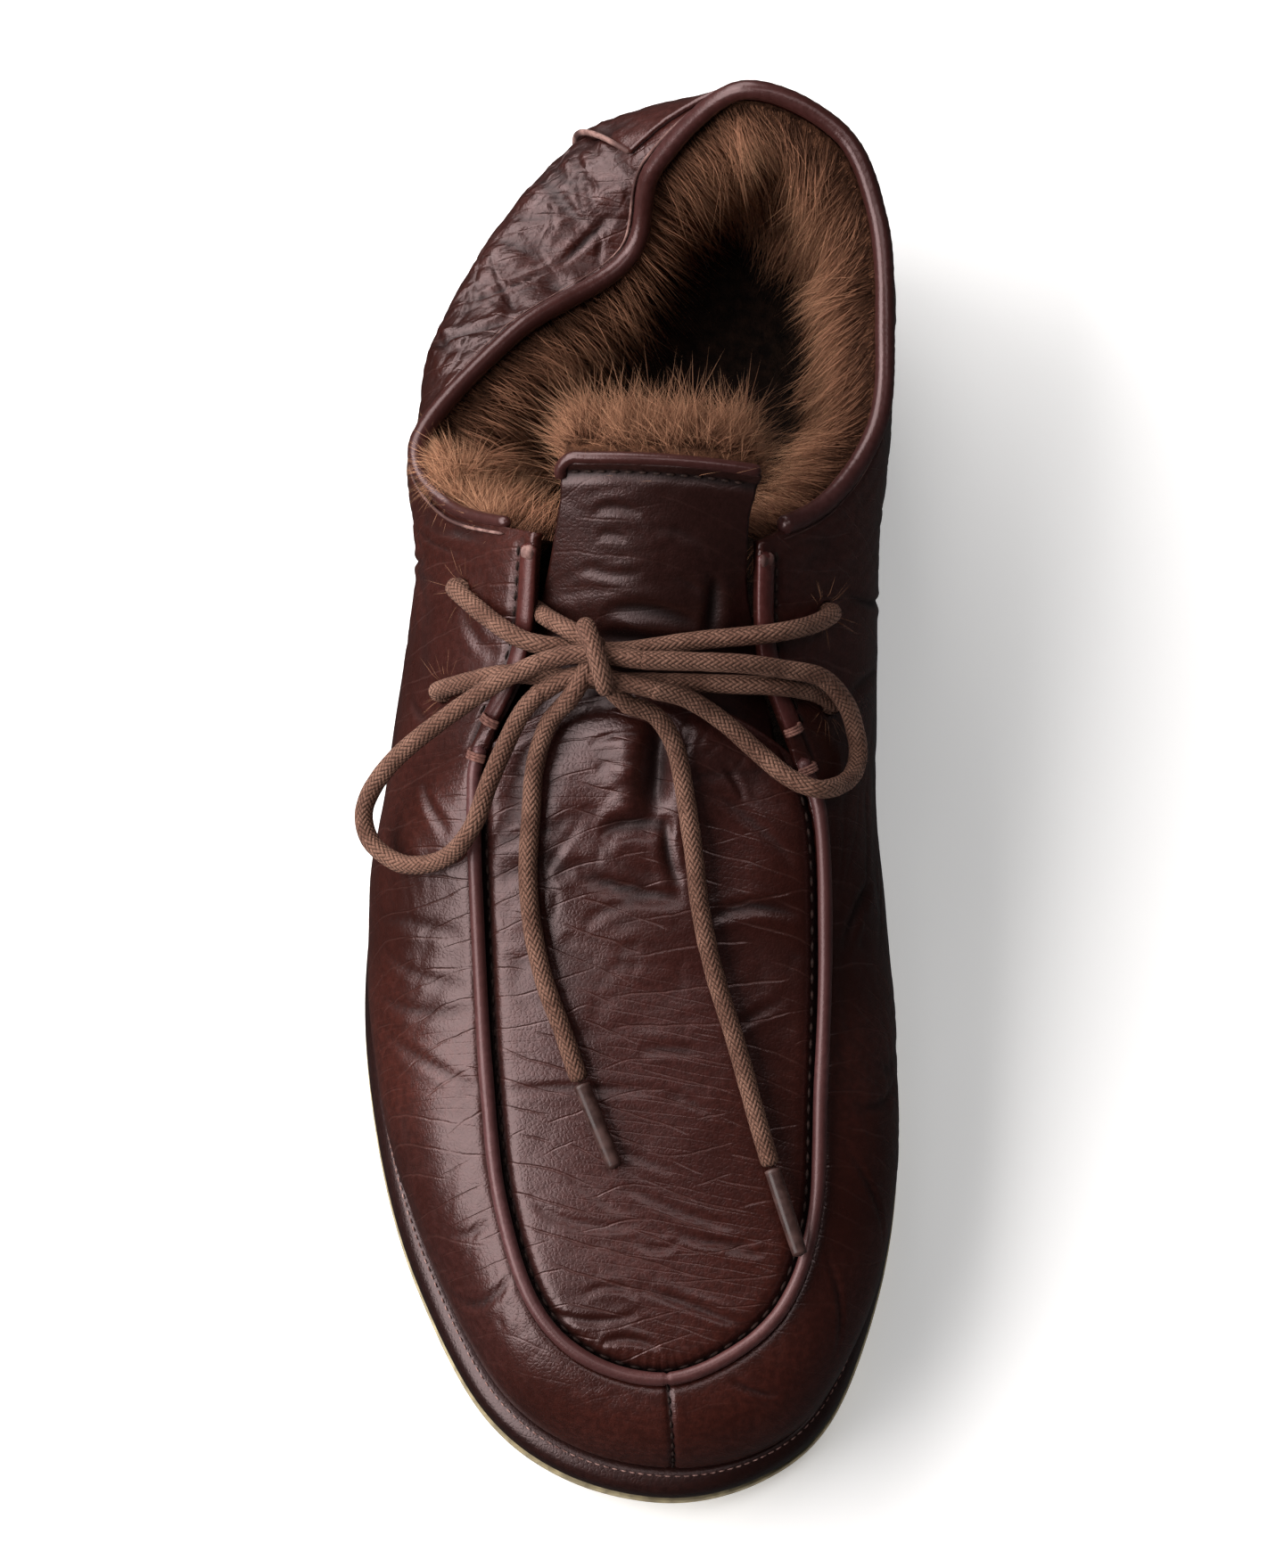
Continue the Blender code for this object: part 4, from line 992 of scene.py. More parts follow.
HOLES = {name: on_wall(*hole) for name, hole in LACE_HOLES.items()}
punches = bmesh.new()
for centre, normal in HOLES.values():
    turned = Vector(normal).to_track_quat("Z", "Y").to_matrix().to_4x4()
    turned.translation = Vector(in_frame(centre))
    bmesh.ops.create_cone(
        punches, cap_ends=True, segments=28, radius1=LACE_HOLE_RADIUS * MM,
        radius2=LACE_HOLE_RADIUS * MM, depth=PUNCH_DEPTH * MM, matrix=turned,
    )
punch_mesh = bpy.data.meshes.new("punches")
punches.to_mesh(punch_mesh)
punches.free()
punch = bpy.data.objects.new("punches", punch_mesh)
bpy.context.scene.collection.objects.link(punch)
cut = upper_wall.modifiers.new("lace holes", "BOOLEAN")
cut.operation, cut.solver, cut.object = "DIFFERENCE", "EXACT", punch
seen = upper_wall.evaluated_get(bpy.context.evaluated_depsgraph_get())
upper_wall.data = bpy.data.meshes.new_from_object(seen)
upper_wall.modifiers.clear()
bpy.data.objects.remove(punch)
print("wall after punching:", len(upper_wall.data.polygons), "faces")


# %% Lace through the holes
HOLE_STEPS = (-7, -2, 1.6)  # along a hole's normal: deep inside, just inside, just out


def through(first, route, last):
    """A bar's route: up from inside through one hole, over the tongue, down through the other."""
    (start, start_out), (end, end_out) = HOLES[first], HOLES[last]
    up = [start + step * start_out for step in HOLE_STEPS]
    down = [end + step * end_out for step in HOLE_STEPS[::-1]]
    return [*up, *route, *down]


for name, first, route, last in (
    ("lace_bar_top", "lateral_top", BAR_TOP, "medial_top"),
    ("lace_bar_low", "lateral_low", BAR_LOW, "medial_low"),
):
    _, points, quads, uv = cord_tube(through(first, route, last))
    add_piece(name + "_braid", points, quads, LACE_COTTON, "cord", (name,), None, uv, merge=True)

# %% [markdown]
# ## The apron
# The top of the vamp is a separate plate of leather sewn in with small gathers. It is spanned by
# chords between the two seams, crowned like a bow, as in the solids. Close to the seam it dives
# into a deep crevice, where the thread pulls it down, and small pleats run out from the stitches.

# %% Apron grid
APRON_CROWN, APRON_BACK_BOW = 8.5, 9.0
APRON_ACROSS = 132
APRON_LAST = TACK * CUTS
apron_columns = np.arange(APRON_LAST + 1)
progress = (apron_columns / APRON_LAST)[:, None, None]
across = np.linspace(0, 1, APRON_ACROSS)[None, :, None]
near_seam, far_seam = TOP_EDGE[apron_columns][:, None], TOP_EDGE[-apron_columns % COLUMNS][:, None]
lift = np.concatenate([0 * progress, APRON_BACK_BOW * progress**3, APRON_CROWN * progress], axis=-1)
apron = near_seam + (far_seam - near_seam) * across + 4 * across * (1 - across) * lift
with np.errstate(invalid="ignore"):
    apron_normal = grid_normals(apron, around=False)
apron_normal[:2] = apron_normal[2].mean(axis=0)  # the first chords are too short to have one


def nearest(places, line):
    """Distance from each place to a line of points, and the number of the nearest of them."""
    far = np.linalg.norm(places[:, None] - line[None], axis=2)
    return far.min(axis=1), far.argmin(axis=1)


seam_columns = np.arange(-APRON_LAST, APRON_LAST + 1)
seam_line = TOP_EDGE[seam_columns]
to_seam, seam_at = nearest(apron.reshape(-1, 3), seam_line)
to_seam, seam_at = to_seam.reshape(apron.shape[:2]), seam_at.reshape(apron.shape[:2])
to_back = nearest(apron.reshape(-1, 3), apron[-1, ::3])[0].reshape(apron.shape[:2])

# %% Apron relief
# Soft swells of the slack leather: x, y, half widths, height
SWELLS = [
    (-5.0, -3.0, 6.5, 9.0, 1.7), (10.0, -4.0, 6.0, 8.0, 1.2), (-16.0, -12.0, 6.0, 12.0, 0.7),
    (-2.0, -20.5, 9.0, 3.6, 1.0), (4.0, -33.0, 12.0, 5.0, 0.5), (22.0, -22.0, 6.0, 8.0, 0.7),
    (-12.0, -47.0, 9.0, 9.0, 0.3), (20.0, -56.0, 8.0, 9.0, 0.3),
]
APRON_SEAM_EASE = 6.0
CREVICE_DEPTH, CREVICE_WIDTH = 2.3, 2.3
BACK_DEPTH, BACK_WIDTH = 2.4, 2.2  # where the apron dives under the tongue's root
PLEAT_HEIGHT, PLEAT_LENGTH = 0.1, 4.0
plan = apron[..., :2]
apron_relief, apron_trough = crease_relief(plan, APRON_CREASES)
for x, y, half_x, half_y, height in SWELLS:
    apron_relief += height * np.exp(-(((plan - (x, y)) / (half_x, half_y)) ** 2).sum(axis=-1))
fine = wrinkles(plan, 21, 26.0, 6.5, 0.28) + wrinkles(plan, 22, 22.0, 6.0, -0.34)
fine += 0.8 * wrinkles(plan, 23, 15.0, 3.6, 0.05) + 0.6 * wrinkles(plan, 24, 9.0, 4.0, 0.9)
spots = np.clip(0.7 + lattice_noise(apron / 20.0 + 30, 8), 0.1, 1.4)
inside_seam = np.clip(to_seam / APRON_SEAM_EASE, 0, 1)
loose = within(plan[..., 1], -28.0, 30.0, 30.0)  # the leather is tighter towards the toe
amount = (0.05 + 0.17 * loose) * spots * inside_seam
apron_relief -= amount * fine
apron_trough = np.maximum(apron_trough, np.clip(amount * fine * 1.1, 0, 0.6))
apron_relief += (0.06 + 0.2 * loose) * lattice_noise(apron / 9.0 + 70, 9) * inside_seam
crevice = bell(to_seam, CREVICE_WIDTH)
pleats = np.cos(seam_at * 1.9 + 2.0 * lattice_noise(apron / 11.0, 10)) * bell(to_seam, PLEAT_LENGTH)
apron_relief += PLEAT_HEIGHT * pleats - CREVICE_DEPTH * crevice
apron_relief -= BACK_DEPTH * bell(to_back, BACK_WIDTH)
# Painted shade: the crevice by the seam is darkened through the trough values.
apron_trough = np.maximum(apron_trough, np.clip(1.4 * crevice, 0, 1))
apron_outer = apron + apron_relief[..., None] * apron_normal


# %% Apron mesh
def shell_faces(columns, rows):
    """Faces of a closed solid between two grids of one size, the second stored after the first."""
    index = np.arange(columns * rows).reshape(columns, rows)
    rim = np.concatenate([index[:, 0], index[-1, 1:], index[-2::-1, -1], index[0, -2:0:-1]])
    onward = np.roll(rim, -1)
    half = columns * rows
    face, _ = grid_quads(columns, rows)
    sides = np.stack([rim, onward, onward + half, rim + half], axis=1)
    return np.concatenate([face, face[:, ::-1] + half, sides])


def add_shell(name, face, back, finish, slot, stands_for=(), values=None):
    """A closed solid between its face and its back; values belong to the face."""
    points = np.concatenate([face.reshape(-1, 3), back.reshape(-1, 3)])
    both = {key: np.concatenate([v.ravel(), 0 * v.ravel()]) for key, v in (values or {}).items()}
    faces = shell_faces(*face.shape[:2])
    return add_piece(name, points, faces, finish, slot, stands_for, both, merge=True)


APRON_THICKNESS = 2.4
add_shell(
    "apron", apron_outer, apron - APRON_THICKNESS * apron_normal, UPPER_LEATHER, "leather", ("upper",),
    {"trough": apron_trough, "creased": np.ones(apron.shape[:2])},
)

# %% [markdown]
# ## Piping and bindings
# A smooth roll of thin leather is sewn into the apron seam, the collar is rolled over a cord and
# the lace opening has a folded strip on each edge. Each is a round or oval section carried along
# the upper's own edge, so it follows every bend of the wall.


# %% Rolled edges
def rolled(path, side, up, half_wide, half_high, sides):
    """Grid of an oval section along a path: cosine along side, sine along up, with closed ends."""
    ends = round_ends(running_length(path), np.max(half_high), 0.8)[:, None, None]
    angle = (2 * np.pi * np.arange(sides) / sides)[None, :, None]
    wide, high = (np.broadcast_to(half, len(path))[:, None, None] for half in (half_wide, half_high))
    grid = path[:, None] + ends * (
        np.cos(angle) * wide * side[:, None] + np.sin(angle) * high * up[:, None]
    )
    return grid.reshape(-1, 3), grid_quads(len(path), sides, over=True)[0]


def add_rolled(name, path, side, up, half_wide, half_high, finish, stands_for, sides):
    """A piece made of one rolled edge."""
    points, quads = rolled(path, side, up, half_wide, half_high, sides)
    return add_piece(name, points, quads, finish, "piping", stands_for, merge=True)


PIPING_RADIUS = 1.35
PIPING_RISE = 0.75
place, away, normal, along = edge_frame(seam_columns)
nick = 1 - 0.22 * bell(seam_columns, 0.5)  # the two ends of the piping meet at the toe
sway = 1 + 0.05 * lattice_noise(np.stack([seam_columns / 14.0] * 3, axis=-1) + 20, 3)
radius = PIPING_RADIUS * nick * sway
add_rolled(
    "apron_piping_roll", place + normal * PIPING_RISE, np.cross(along, normal), normal, radius, radius,
    PIPING_LEATHER, ("apron_piping",), 20,
)

# %% Facing strips
FACING_HALF_WIDTH, FACING_HALF_HEIGHT = 1.85, 0.95
FACING_BELOW, FACING_RISE = 1.1, 0.2  # the strip's middle, from the leather's edge
FACINGS = {
    "lateral": np.arange(TACK * CUTS + 6, CORNER * CUTS - 1),
    "medial": np.arange(COLUMNS - CORNER * CUTS + 2, COLUMNS - TACK * CUTS - 5),
}
for name, columns in FACINGS.items():
    place, away, normal, along = edge_frame(columns)
    add_rolled(
        "facing_strip_" + name, place - FACING_BELOW * away + FACING_RISE * normal, away, normal,
        FACING_HALF_WIDTH, FACING_HALF_HEIGHT, EDGE_LEATHER, ("facing_binding_" + name,), 20,
    )

# %% Rolled collar
COLLAR_RADIUS = 1.9
COLLAR_ABOVE, COLLAR_INSIDE = 1.0, 0.5  # the roll's middle, from the leather's edge
collar_columns = np.arange(CORNER * CUTS + 7, COLUMNS - CORNER * CUTS - 6)
place, away, normal, along = edge_frame(collar_columns)
gathers = 1 + 0.02 * np.cos(collar_columns * 2.4)
gathers += 0.03 * lattice_noise(np.stack([collar_columns / 9.0] * 3, axis=-1) + 10, 4)
slim = 1 - 0.35 * within(collar_columns / CUTS, CORNER, CORNER + 1.2, 0.8)  # where the fur spills over
radius = COLLAR_RADIUS * gathers * slim
add_rolled(
    "collar_roll", place + COLLAR_ABOVE * away - COLLAR_INSIDE * normal, away, normal, radius, radius,
    ROLL_LEATHER, ("collar_binding",), 24,
)


# %% Raw edges
def raw_leather():
    """Cut leather before dye: a pale pinkish brown with fibres and stains."""
    made, tree, shader = new_finish("raw_leather", {"Roughness": 0.75})
    coords = object_places(tree)
    fibre = noise(tree, coords, 700.0, 4.0)
    stain = noise(tree, coords, 90.0, 3.0)
    pale = blend_colours(tree, spread(tree, fibre, 0.3, 0.7), (0.11, 0.048, 0.04), (0.26, 0.145, 0.125))
    colour = blend_colours(tree, spread(tree, stain, 0.42, 0.62), pale, (0.05, 0.015, 0.012))
    paint(tree, shader, colour)
    raise_bump(tree, shader, fibre, 0.6, 0.0003)
    return made


RAW_LEATHER = raw_leather()
RAW_EDGE = 0.3
RAW_BELOW, RAW_RISE = 1.35, 0.1  # from the leather's edge
at = collar_columns / CUTS
bare = 0.25 + 0.75 * np.maximum(within(at, 13.3, 15.6, 0.5), within(at, CORNER, CORNER + 1.6, 0.6))
radius = RAW_EDGE * gathers * bare
add_rolled(
    "collar_raw_edge", place - RAW_BELOW * away + RAW_RISE * normal, away, normal, radius, radius,
    RAW_LEATHER, (), 10,
)

# %% Cut ends of the facings
END_LENGTH, END_HALF_WIDTH, END_HALF_HEIGHT = 3.2, 1.4, 0.9
END_BELOW, END_RISE = 1.0, 0.5
NEAR_CORNER, FROM_CORNER = 8, 4  # columns looked at on both sides of the corner, and from it to the end
for name, corner, step in (("lateral", CORNER * CUTS, -1), ("medial", COLUMNS - CORNER * CUTS, 1)):
    around = edge_frame(np.arange(corner - NEAR_CORNER, corner + NEAR_CORNER + 1))
    place, away, normal, along = (rows[NEAR_CORNER + FROM_CORNER * step] for rows in around)
    reach = np.linspace(-0.5, 0.5, 9)[:, None] * END_LENGTH
    path = place - END_BELOW * away + END_RISE * normal + reach * away
    rough = 1 + 0.3 * lattice_noise(path / 0.9 + 33, 25)
    add_rolled(
        "facing_end_" + name, path, np.broadcast_to(along, path.shape), np.broadcast_to(normal, path.shape),
        END_HALF_WIDTH * rough, END_HALF_HEIGHT * rough, RAW_LEATHER, (), 14,
    )

# %% [markdown]
# ## The sole
# A thin crepe outsole carries a platform whose edge is wrapped in dark leather. Both are stacks
# of the sole's outline, moved inwards by a profile. The profile is smoothed through the few
# levels of the solids; chords across the outline close the top and the bottom.


# %% Stacked outlines
def outline(inset, height):
    """The sole's outline moved inwards along its normals and lifted to a height function of y."""
    plan = SOLE_LINE - SOLE_OUT * inset
    return np.column_stack([plan, height(plan[:, 1])])


def chords(ring, cuts):
    """A sheet across a closed outline: straight lines between columns that face each other."""
    half = np.arange(COLUMNS // 2 + 1)
    t = np.linspace(0, 1, cuts + 1)[None, :, None]
    return ring[half][:, None] * (1 - t) + ring[-half % COLUMNS][:, None] * t


def add_stack(name, rings, finish, slot, stands_for, cuts=(4, 4)):
    """A closed slab: its side from rings stacked upwards, its two faces from chords."""
    side = np.stack(rings, axis=1)
    parts = [(side.reshape(-1, 3), grid_quads(COLUMNS, len(rings), around=True)[0])]
    for ring, across_cuts in zip((rings[0], rings[-1]), cuts):
        sheet = chords(ring, across_cuts)
        parts.append((sheet.reshape(-1, 3), grid_quads(*sheet.shape[:2])[0]))
    return add_piece(name, *joined(parts), finish, slot, stands_for, merge=True)


# %% Wrapped platform
def band_height(share):
    """Height at a share of the platform's edge, between outsole and seam, as a function of y."""
    low = OUTSOLE_THICKNESS + GAP
    return lambda y: ground(y) + low + share * (seam_height(y) - ground(y) - low)


BAND_SHARES = (0.0, 0.2, 0.5, 0.82, 0.99, 1.0)
even = np.ones_like(SEAM_IN)
band_insets = [1.0 * even, 0.2 * even, 0.0 * even, 0.7 * even, 0.75 * SEAM_IN, SEAM_IN + 0.6]
profile = open_rail(
    [np.append(inset[:, 0], share) for inset, share in zip(band_insets, BAND_SHARES)], 3
)
rings = [outline(row[:-1, None], band_height(row[-1])) for row in profile]
add_stack("platform_wrap", rings, BAND_LEATHER, "dark_leather", ("wrapped_midsole",))


# %% Crepe outsole
def crepe_rubber():
    """Pale olive crepe: crumbled cells and fine pits, with grey dirt rubbed into the lows."""
    made, tree, shader = new_finish("crepe_rubber", {"Roughness": 0.82})
    coords = object_places(tree)
    crumb = add_node(tree, "TexVoronoi", {"Vector": coords, "Scale": 420.0}).outputs["Distance"]
    cloud = noise(tree, coords, 60.0, 5.0)
    pale = blend_colours(tree, spread(tree, cloud, 0.3, 0.7), (0.3, 0.24, 0.13), (0.44, 0.37, 0.22))
    colour = blend_colours(tree, spread(tree, crumb, 0.3, 0.8, 0.0, 0.5), pale, (0.16, 0.13, 0.08))
    paint(tree, shader, colour)
    height = count(tree, "MULTIPLY_ADD", cloud, 0.6, crumb)
    raise_bump(tree, shader, height, 0.8, 0.0006)
    return made


OUTSOLE_LEVELS = [  # inset and height, from the ground up
    (1.2, 0.0), (0.5, 0.15), (-0.1, 0.5), (-0.3, 1.0), (-0.3, 1.6), (-0.15, 2.4),
    (0.0, OUTSOLE_THICKNESS),
]
rings = [outline(inset, lambda y, up=up: ground(y) + up) for inset, up in OUTSOLE_LEVELS]
add_stack("crepe_outsole", rings, crepe_rubber(), "crepe", ("outsole",), (12, 4))

# %% [markdown]
# ## The tongue
# A padded leather tongue comes up from under the apron and ends in a piped edge. It is a grid
# across a few sections, arched over the foot, with its own soft creases where the lace presses.

# %% Tongue grid
# y z lateral_x medial_x arch, from under the apron to the top edge
TONGUE = [
    (-14.0, 63.6, -19.0, 17.0, 3.0), (-2.0, 68.2, -18.5, 16.5, 3.5), (8.0, 72.3, -17.5, 15.0, 4.0),
    (16.0, 77.6, -16.5, 13.0, 4.5), (26.0, 86.0, -16.8, 12.4, 5.0), (37.0, 93.6, -18.8, 15.0, 4.5),
    (46.5, 100.5, -20.0, 18.0, 3.5),
]
TONGUE_THICKNESS = 2.4
TONGUE_ACROSS = 76
# x, y of one end, x, y of the other, bow, half width, depth
TONGUE_CREASES = np.array([
    (-13.0, 39.0, -4.0, 38.2, 0.6, 0.8, 0.5), (-12.0, 35.0, -6.5, 34.0, 0.4, 0.7, 0.4),
    (-2.0, 36.0, 9.0, 33.5, 1.0, 0.8, 0.4), (10.5, 30.0, 10.2, 20.0, 0.4, 1.2, 1.1),
    (-10.0, 22.5, 8.0, 21.5, 0.8, 1.1, 0.9), (-12.0, 19.0, 6.0, 18.6, -0.6, 1.0, 0.8),
    (-14.5, 30.0, -3.0, 28.6, -0.8, 0.8, 0.4), (2.0, 28.5, 10.0, 26.0, 0.5, 0.7, 0.4),
])
TONGUE_SKIRT = 0.25  # share of the width that turns down under the facings
TONGUE_SEAM_Y = 44.6
TONGUE_SEAM_DEPTH, TONGUE_SEAM_WIDTH = 0.9, 0.9


def tongue_face(rows):
    """Across each section: even steps from edge to edge, lowered at the sides by a parabola; below
    the free top the steps go on past the edges, down under the facings."""
    y, z, low, high, arch = (column[:, None] for column in rows.T)
    skirt = TONGUE_SKIRT * within(y, -20.0, 22.0, 20.0) ** 1.5
    a = -skirt + (1 + 2 * skirt) * np.linspace(0, 1, TONGUE_ACROSS)[None]
    return np.stack([low + (high - low) * a, y + 0 * a, z - arch * (2 * a - 1) ** 2], axis=-1)


tongue = tongue_face(open_rail(TONGUE, 17))
tongue_normal = grid_normals(tongue, around=False)
tongue_relief, tongue_trough = crease_relief(tongue[..., :2], TONGUE_CREASES)
plan = tongue[..., :2]
tongue_relief -= 0.12 * (wrinkles(plan, 31, 20.0, 5.0, 0.2) + wrinkles(plan, 32, 16.0, 5.0, -0.3))
tongue_relief += 0.25 * lattice_noise(tongue / 9.0 + 50, 14)
from_seam = tongue[..., 1] - TONGUE_SEAM_Y
tongue_relief -= TONGUE_SEAM_DEPTH * bell(from_seam, TONGUE_SEAM_WIDTH)
# Painted shade: the seam's groove is darkened through the trough values.
tongue_trough = np.maximum(tongue_trough, 0.9 * bell(from_seam, 0.7))
tongue_outer = tongue + tongue_relief[..., None] * tongue_normal
# The tongue wears the darkened leather: painted shade.
add_shell(
    "tongue_leather", tongue_outer, tongue - TONGUE_THICKNESS * tongue_normal, TONGUE_LEATHER_PAINTED_SHADE,
    "leather", ("tongue",), {"trough": tongue_trough, "creased": np.ones(tongue.shape[:2])},
)

# %% Tongue edge
TONGUE_EDGE_RADIUS = 1.2
EDGE_ABOVE, EDGE_BEHIND = 0.6, 0.9  # the roll's middle, from the tongue's last row
EDGE_START = np.array(((0.5, -3.4, -2.9), (0.2, -1.6, -1.2)))  # it starts lower, round the corner
rise = unit(tongue[-1] - tongue[-2])
edge = tongue[-1] + rise * EDGE_ABOVE - tongue_normal[-1] * EDGE_BEHIND
corner = edge[0] + EDGE_START
edge, _ = even_steps(open_rail(np.concatenate([corner, edge[4::6], edge[-1:]]), 6), 0.8)
along, side, up = path_frame(edge, (0.0, -0.6, 0.8))
add_rolled(
    "tongue_edge_roll", edge, side, up, TONGUE_EDGE_RADIUS, TONGUE_EDGE_RADIUS, ROLL_LEATHER,
    ("tongue_binding",), 20,
)

# %% [markdown]
# ## Fur
# The lining is a brown pelt with golden tips. A hair system would be natural in a viewer, but the
# part has to be plain meshes, so a low lumpy pile fills the depth and tens of thousands of thin
# three-sided spikes stand on it. Neighbouring hairs lean to one spot, which makes locks.


# %% Fur finishes
def pelt(name, low, high):
    """The dense undercoat: brown streaks, seen only between the hairs."""
    made, tree, shader = new_finish(name, {"Roughness": 0.95, "Specular IOR Level": 0.08})
    coords = object_places(tree)
    streaks = add_node(
        tree, "TexNoise", {"Vector": coords, "Scale": 380.0, "Detail": 5.0, "Roughness": 0.7}
    ).outputs[0]
    paint(tree, shader, blend_colours(tree, spread(tree, streaks, 0.3, 0.75), low, high))
    raise_bump(tree, shader, streaks, 1.0, 0.0012)
    return made


def fur_hair():
    """A hair: dark at the root, brown along its length, golden at the tip, each a little different."""
    made, tree, shader = new_finish("fur_hair", {"Roughness": 0.7, "Specular IOR Level": 0.15})
    along_hair = kept_value(tree, "along")
    tone = kept_value(tree, "tone")
    low = blend_colours(tree, tone, (0.1, 0.04, 0.021), (0.3, 0.138, 0.08))
    tip = blend_colours(tree, tone, (0.2, 0.086, 0.046), (0.66, 0.355, 0.205))
    colour = blend_colours(tree, spread(tree, along_hair, 0.0, 0.45), (0.045, 0.018, 0.01), low)
    colour = blend_colours(tree, spread(tree, along_hair, 0.45, 1.0), colour, tip)
    paint(tree, shader, colour)
    return made


PELT = pelt("pelt", (0.022, 0.009, 0.005), (0.13, 0.056, 0.031))
# The sock's pelt is the lining pelt darkened about tenfold: painted shade for the deep hollow inside the
# shoe.
SOCK_PELT_PAINTED_SHADE = pelt("sock_pelt_painted_shade", (0.002, 0.001, 0.0006), (0.011, 0.005, 0.003))
FUR_HAIR = fur_hair()
FUR_SEED = 17
rng = np.random.default_rng(FUR_SEED)


# %% Hairs
def spikes(root, middle, tip, width):
    """Points and faces of three-sided hairs: a ring at the root, one at the bend if there is a
    middle, and the tip. Sides are quads below the bend and triangles above it; roots are closed."""
    hairs = len(root)
    line = unit(tip - root)
    side = unit(np.cross(line, rng.normal(size=(hairs, 3))))
    turn = (2 * np.pi * np.arange(3) / 3)[None, :, None]
    ring = np.cos(turn) * side[:, None] + np.sin(turn) * np.cross(line, side)[:, None]
    ring = ring * width[:, None, None]
    rings = [root[:, None] + ring] + ([] if middle is None else [middle[:, None] + 0.75 * ring])
    points = np.concatenate([*rings, tip[:, None]], axis=1)
    size = points.shape[1]
    first = size * np.arange(hairs)[:, None, None]
    k, n, low = np.arange(3), (np.arange(3) + 1) % 3, size - 4
    faces = [*(np.stack([k + low, n + low, 0 * k + size - 1], axis=1)[None] + first).reshape(-1, 3)]
    faces += [*(np.array((2, 1, 0))[None] + first[:, 0])]
    if middle is not None:
        faces += [*(np.stack([k, n, n + 3, k + 3], axis=1)[None] + first).reshape(-1, 4)]
    return points, faces


def add_hairs(name, root, way, bend, length, width, tone, bent=True):
    """Hairs on bent lines: at share t of its length a hair is at t along its way plus t squared of
    its bend. Straight ones keep only root and tip; tone is the range of their colour."""
    length = length[:, None]
    tip = root + length * (way + bend)
    middle = root + length * (0.5 * way + 0.25 * bend) if bent else None
    points, faces = spikes(root, middle, tip, width)
    shares = (0, 0, 0, 0.5, 0.5, 0.5, 1) if bent else (0.3, 0.3, 0.3, 0.9)
    values = {
        "along": np.broadcast_to(shares, points.shape[:2]),
        "tone": np.repeat(rng.uniform(*tone, len(root)), points.shape[1]),
    }
    return add_piece(name, points.reshape(-1, 3), faces, FUR_HAIR, "fur", (), values)


def sample(grid, column, row):
    """Values of a grid at fractional columns and rows, by blending the four neighbours."""
    c = np.clip(column.astype(int), 0, grid.shape[0] - 2)
    r = np.clip(row.astype(int), 0, grid.shape[1] - 2)
    a, b = (column - c)[:, None], (row - r)[:, None]
    low = grid[c, r] * (1 - b) + grid[c, r + 1] * b
    return low * (1 - a) + (grid[c + 1, r] * (1 - b) + grid[c + 1, r + 1] * b) * a


# %% Lining pile
LINING_ROWS = 26
LINING_LOW, LINING_HIGH = 0.1, 0.97  # shares of the wall's height
LINING_CLEAR = 0.3  # between the leather and the pelt
PILE_DEPTH = 5.6
BULGE_IN, BULGE_UP = 4.0, 4.5  # of the fur that swells over the collar by the little-toe facing
LINING_START = CORNER + 0.15  # station of its first column; the last is as far from the other corner
first_column = int(LINING_START * CUTS)
lining_columns = np.arange(first_column, COLUMNS - first_column + 1, 2)
lining_stations = lining_columns / CUTS
lining = wall(np.linspace(LINING_LOW, LINING_HIGH, LINING_ROWS))
lining_out = grid_normals(lining)[lining_columns]
lining = lining[lining_columns] - (WALL + LINING_CLEAR) * lining_out
pile = PILE_DEPTH + 1.8 * lattice_noise(lining / 9.0 + 25, 15)
pile = pile + 0.6 * lattice_noise(lining / 3.0 + 25, 16)
bulge = within(lining_stations, CORNER, CORNER + 1.5, 0.8)[:, None]
bulge = bulge * np.linspace(0, 1, LINING_ROWS)[None] ** 2
lining_face = lining - (pile + BULGE_IN * bulge)[..., None] * lining_out
lining_face[..., 2] += BULGE_UP * bulge
add_shell("lining_pile", lining, lining_face, PELT, "fur", ("fur_lining",))

# %% Lining hairs
# For each kind of hair: how many on a side, shortest and longest, thinnest and thickest, bent or not
LINING_FUR = {
    "long": (9000, (9.0, 17.0), (0.05, 0.1), True),
    "short": (17000, (5.5, 10.5), (0.06, 0.12), False),
}
RIM_SHARE = 0.22  # of the hairs, rooted on the pile's upper rim
LOCK = 3.0  # columns and rows of the pile that lean to one lock
HANG_FROM, HANG_TO = 10.6, 14.4  # stations under the slumped collar
UP = np.array((0.0, 0.0, 1.0))
down_wall = -unit(np.gradient(lining_face, axis=1))
round_wall = unit(np.gradient(lining_face, axis=0))
plan_in = np.column_stack([-outward(TOP_EDGE[:, :2]), np.zeros(COLUMNS)])[lining_columns]


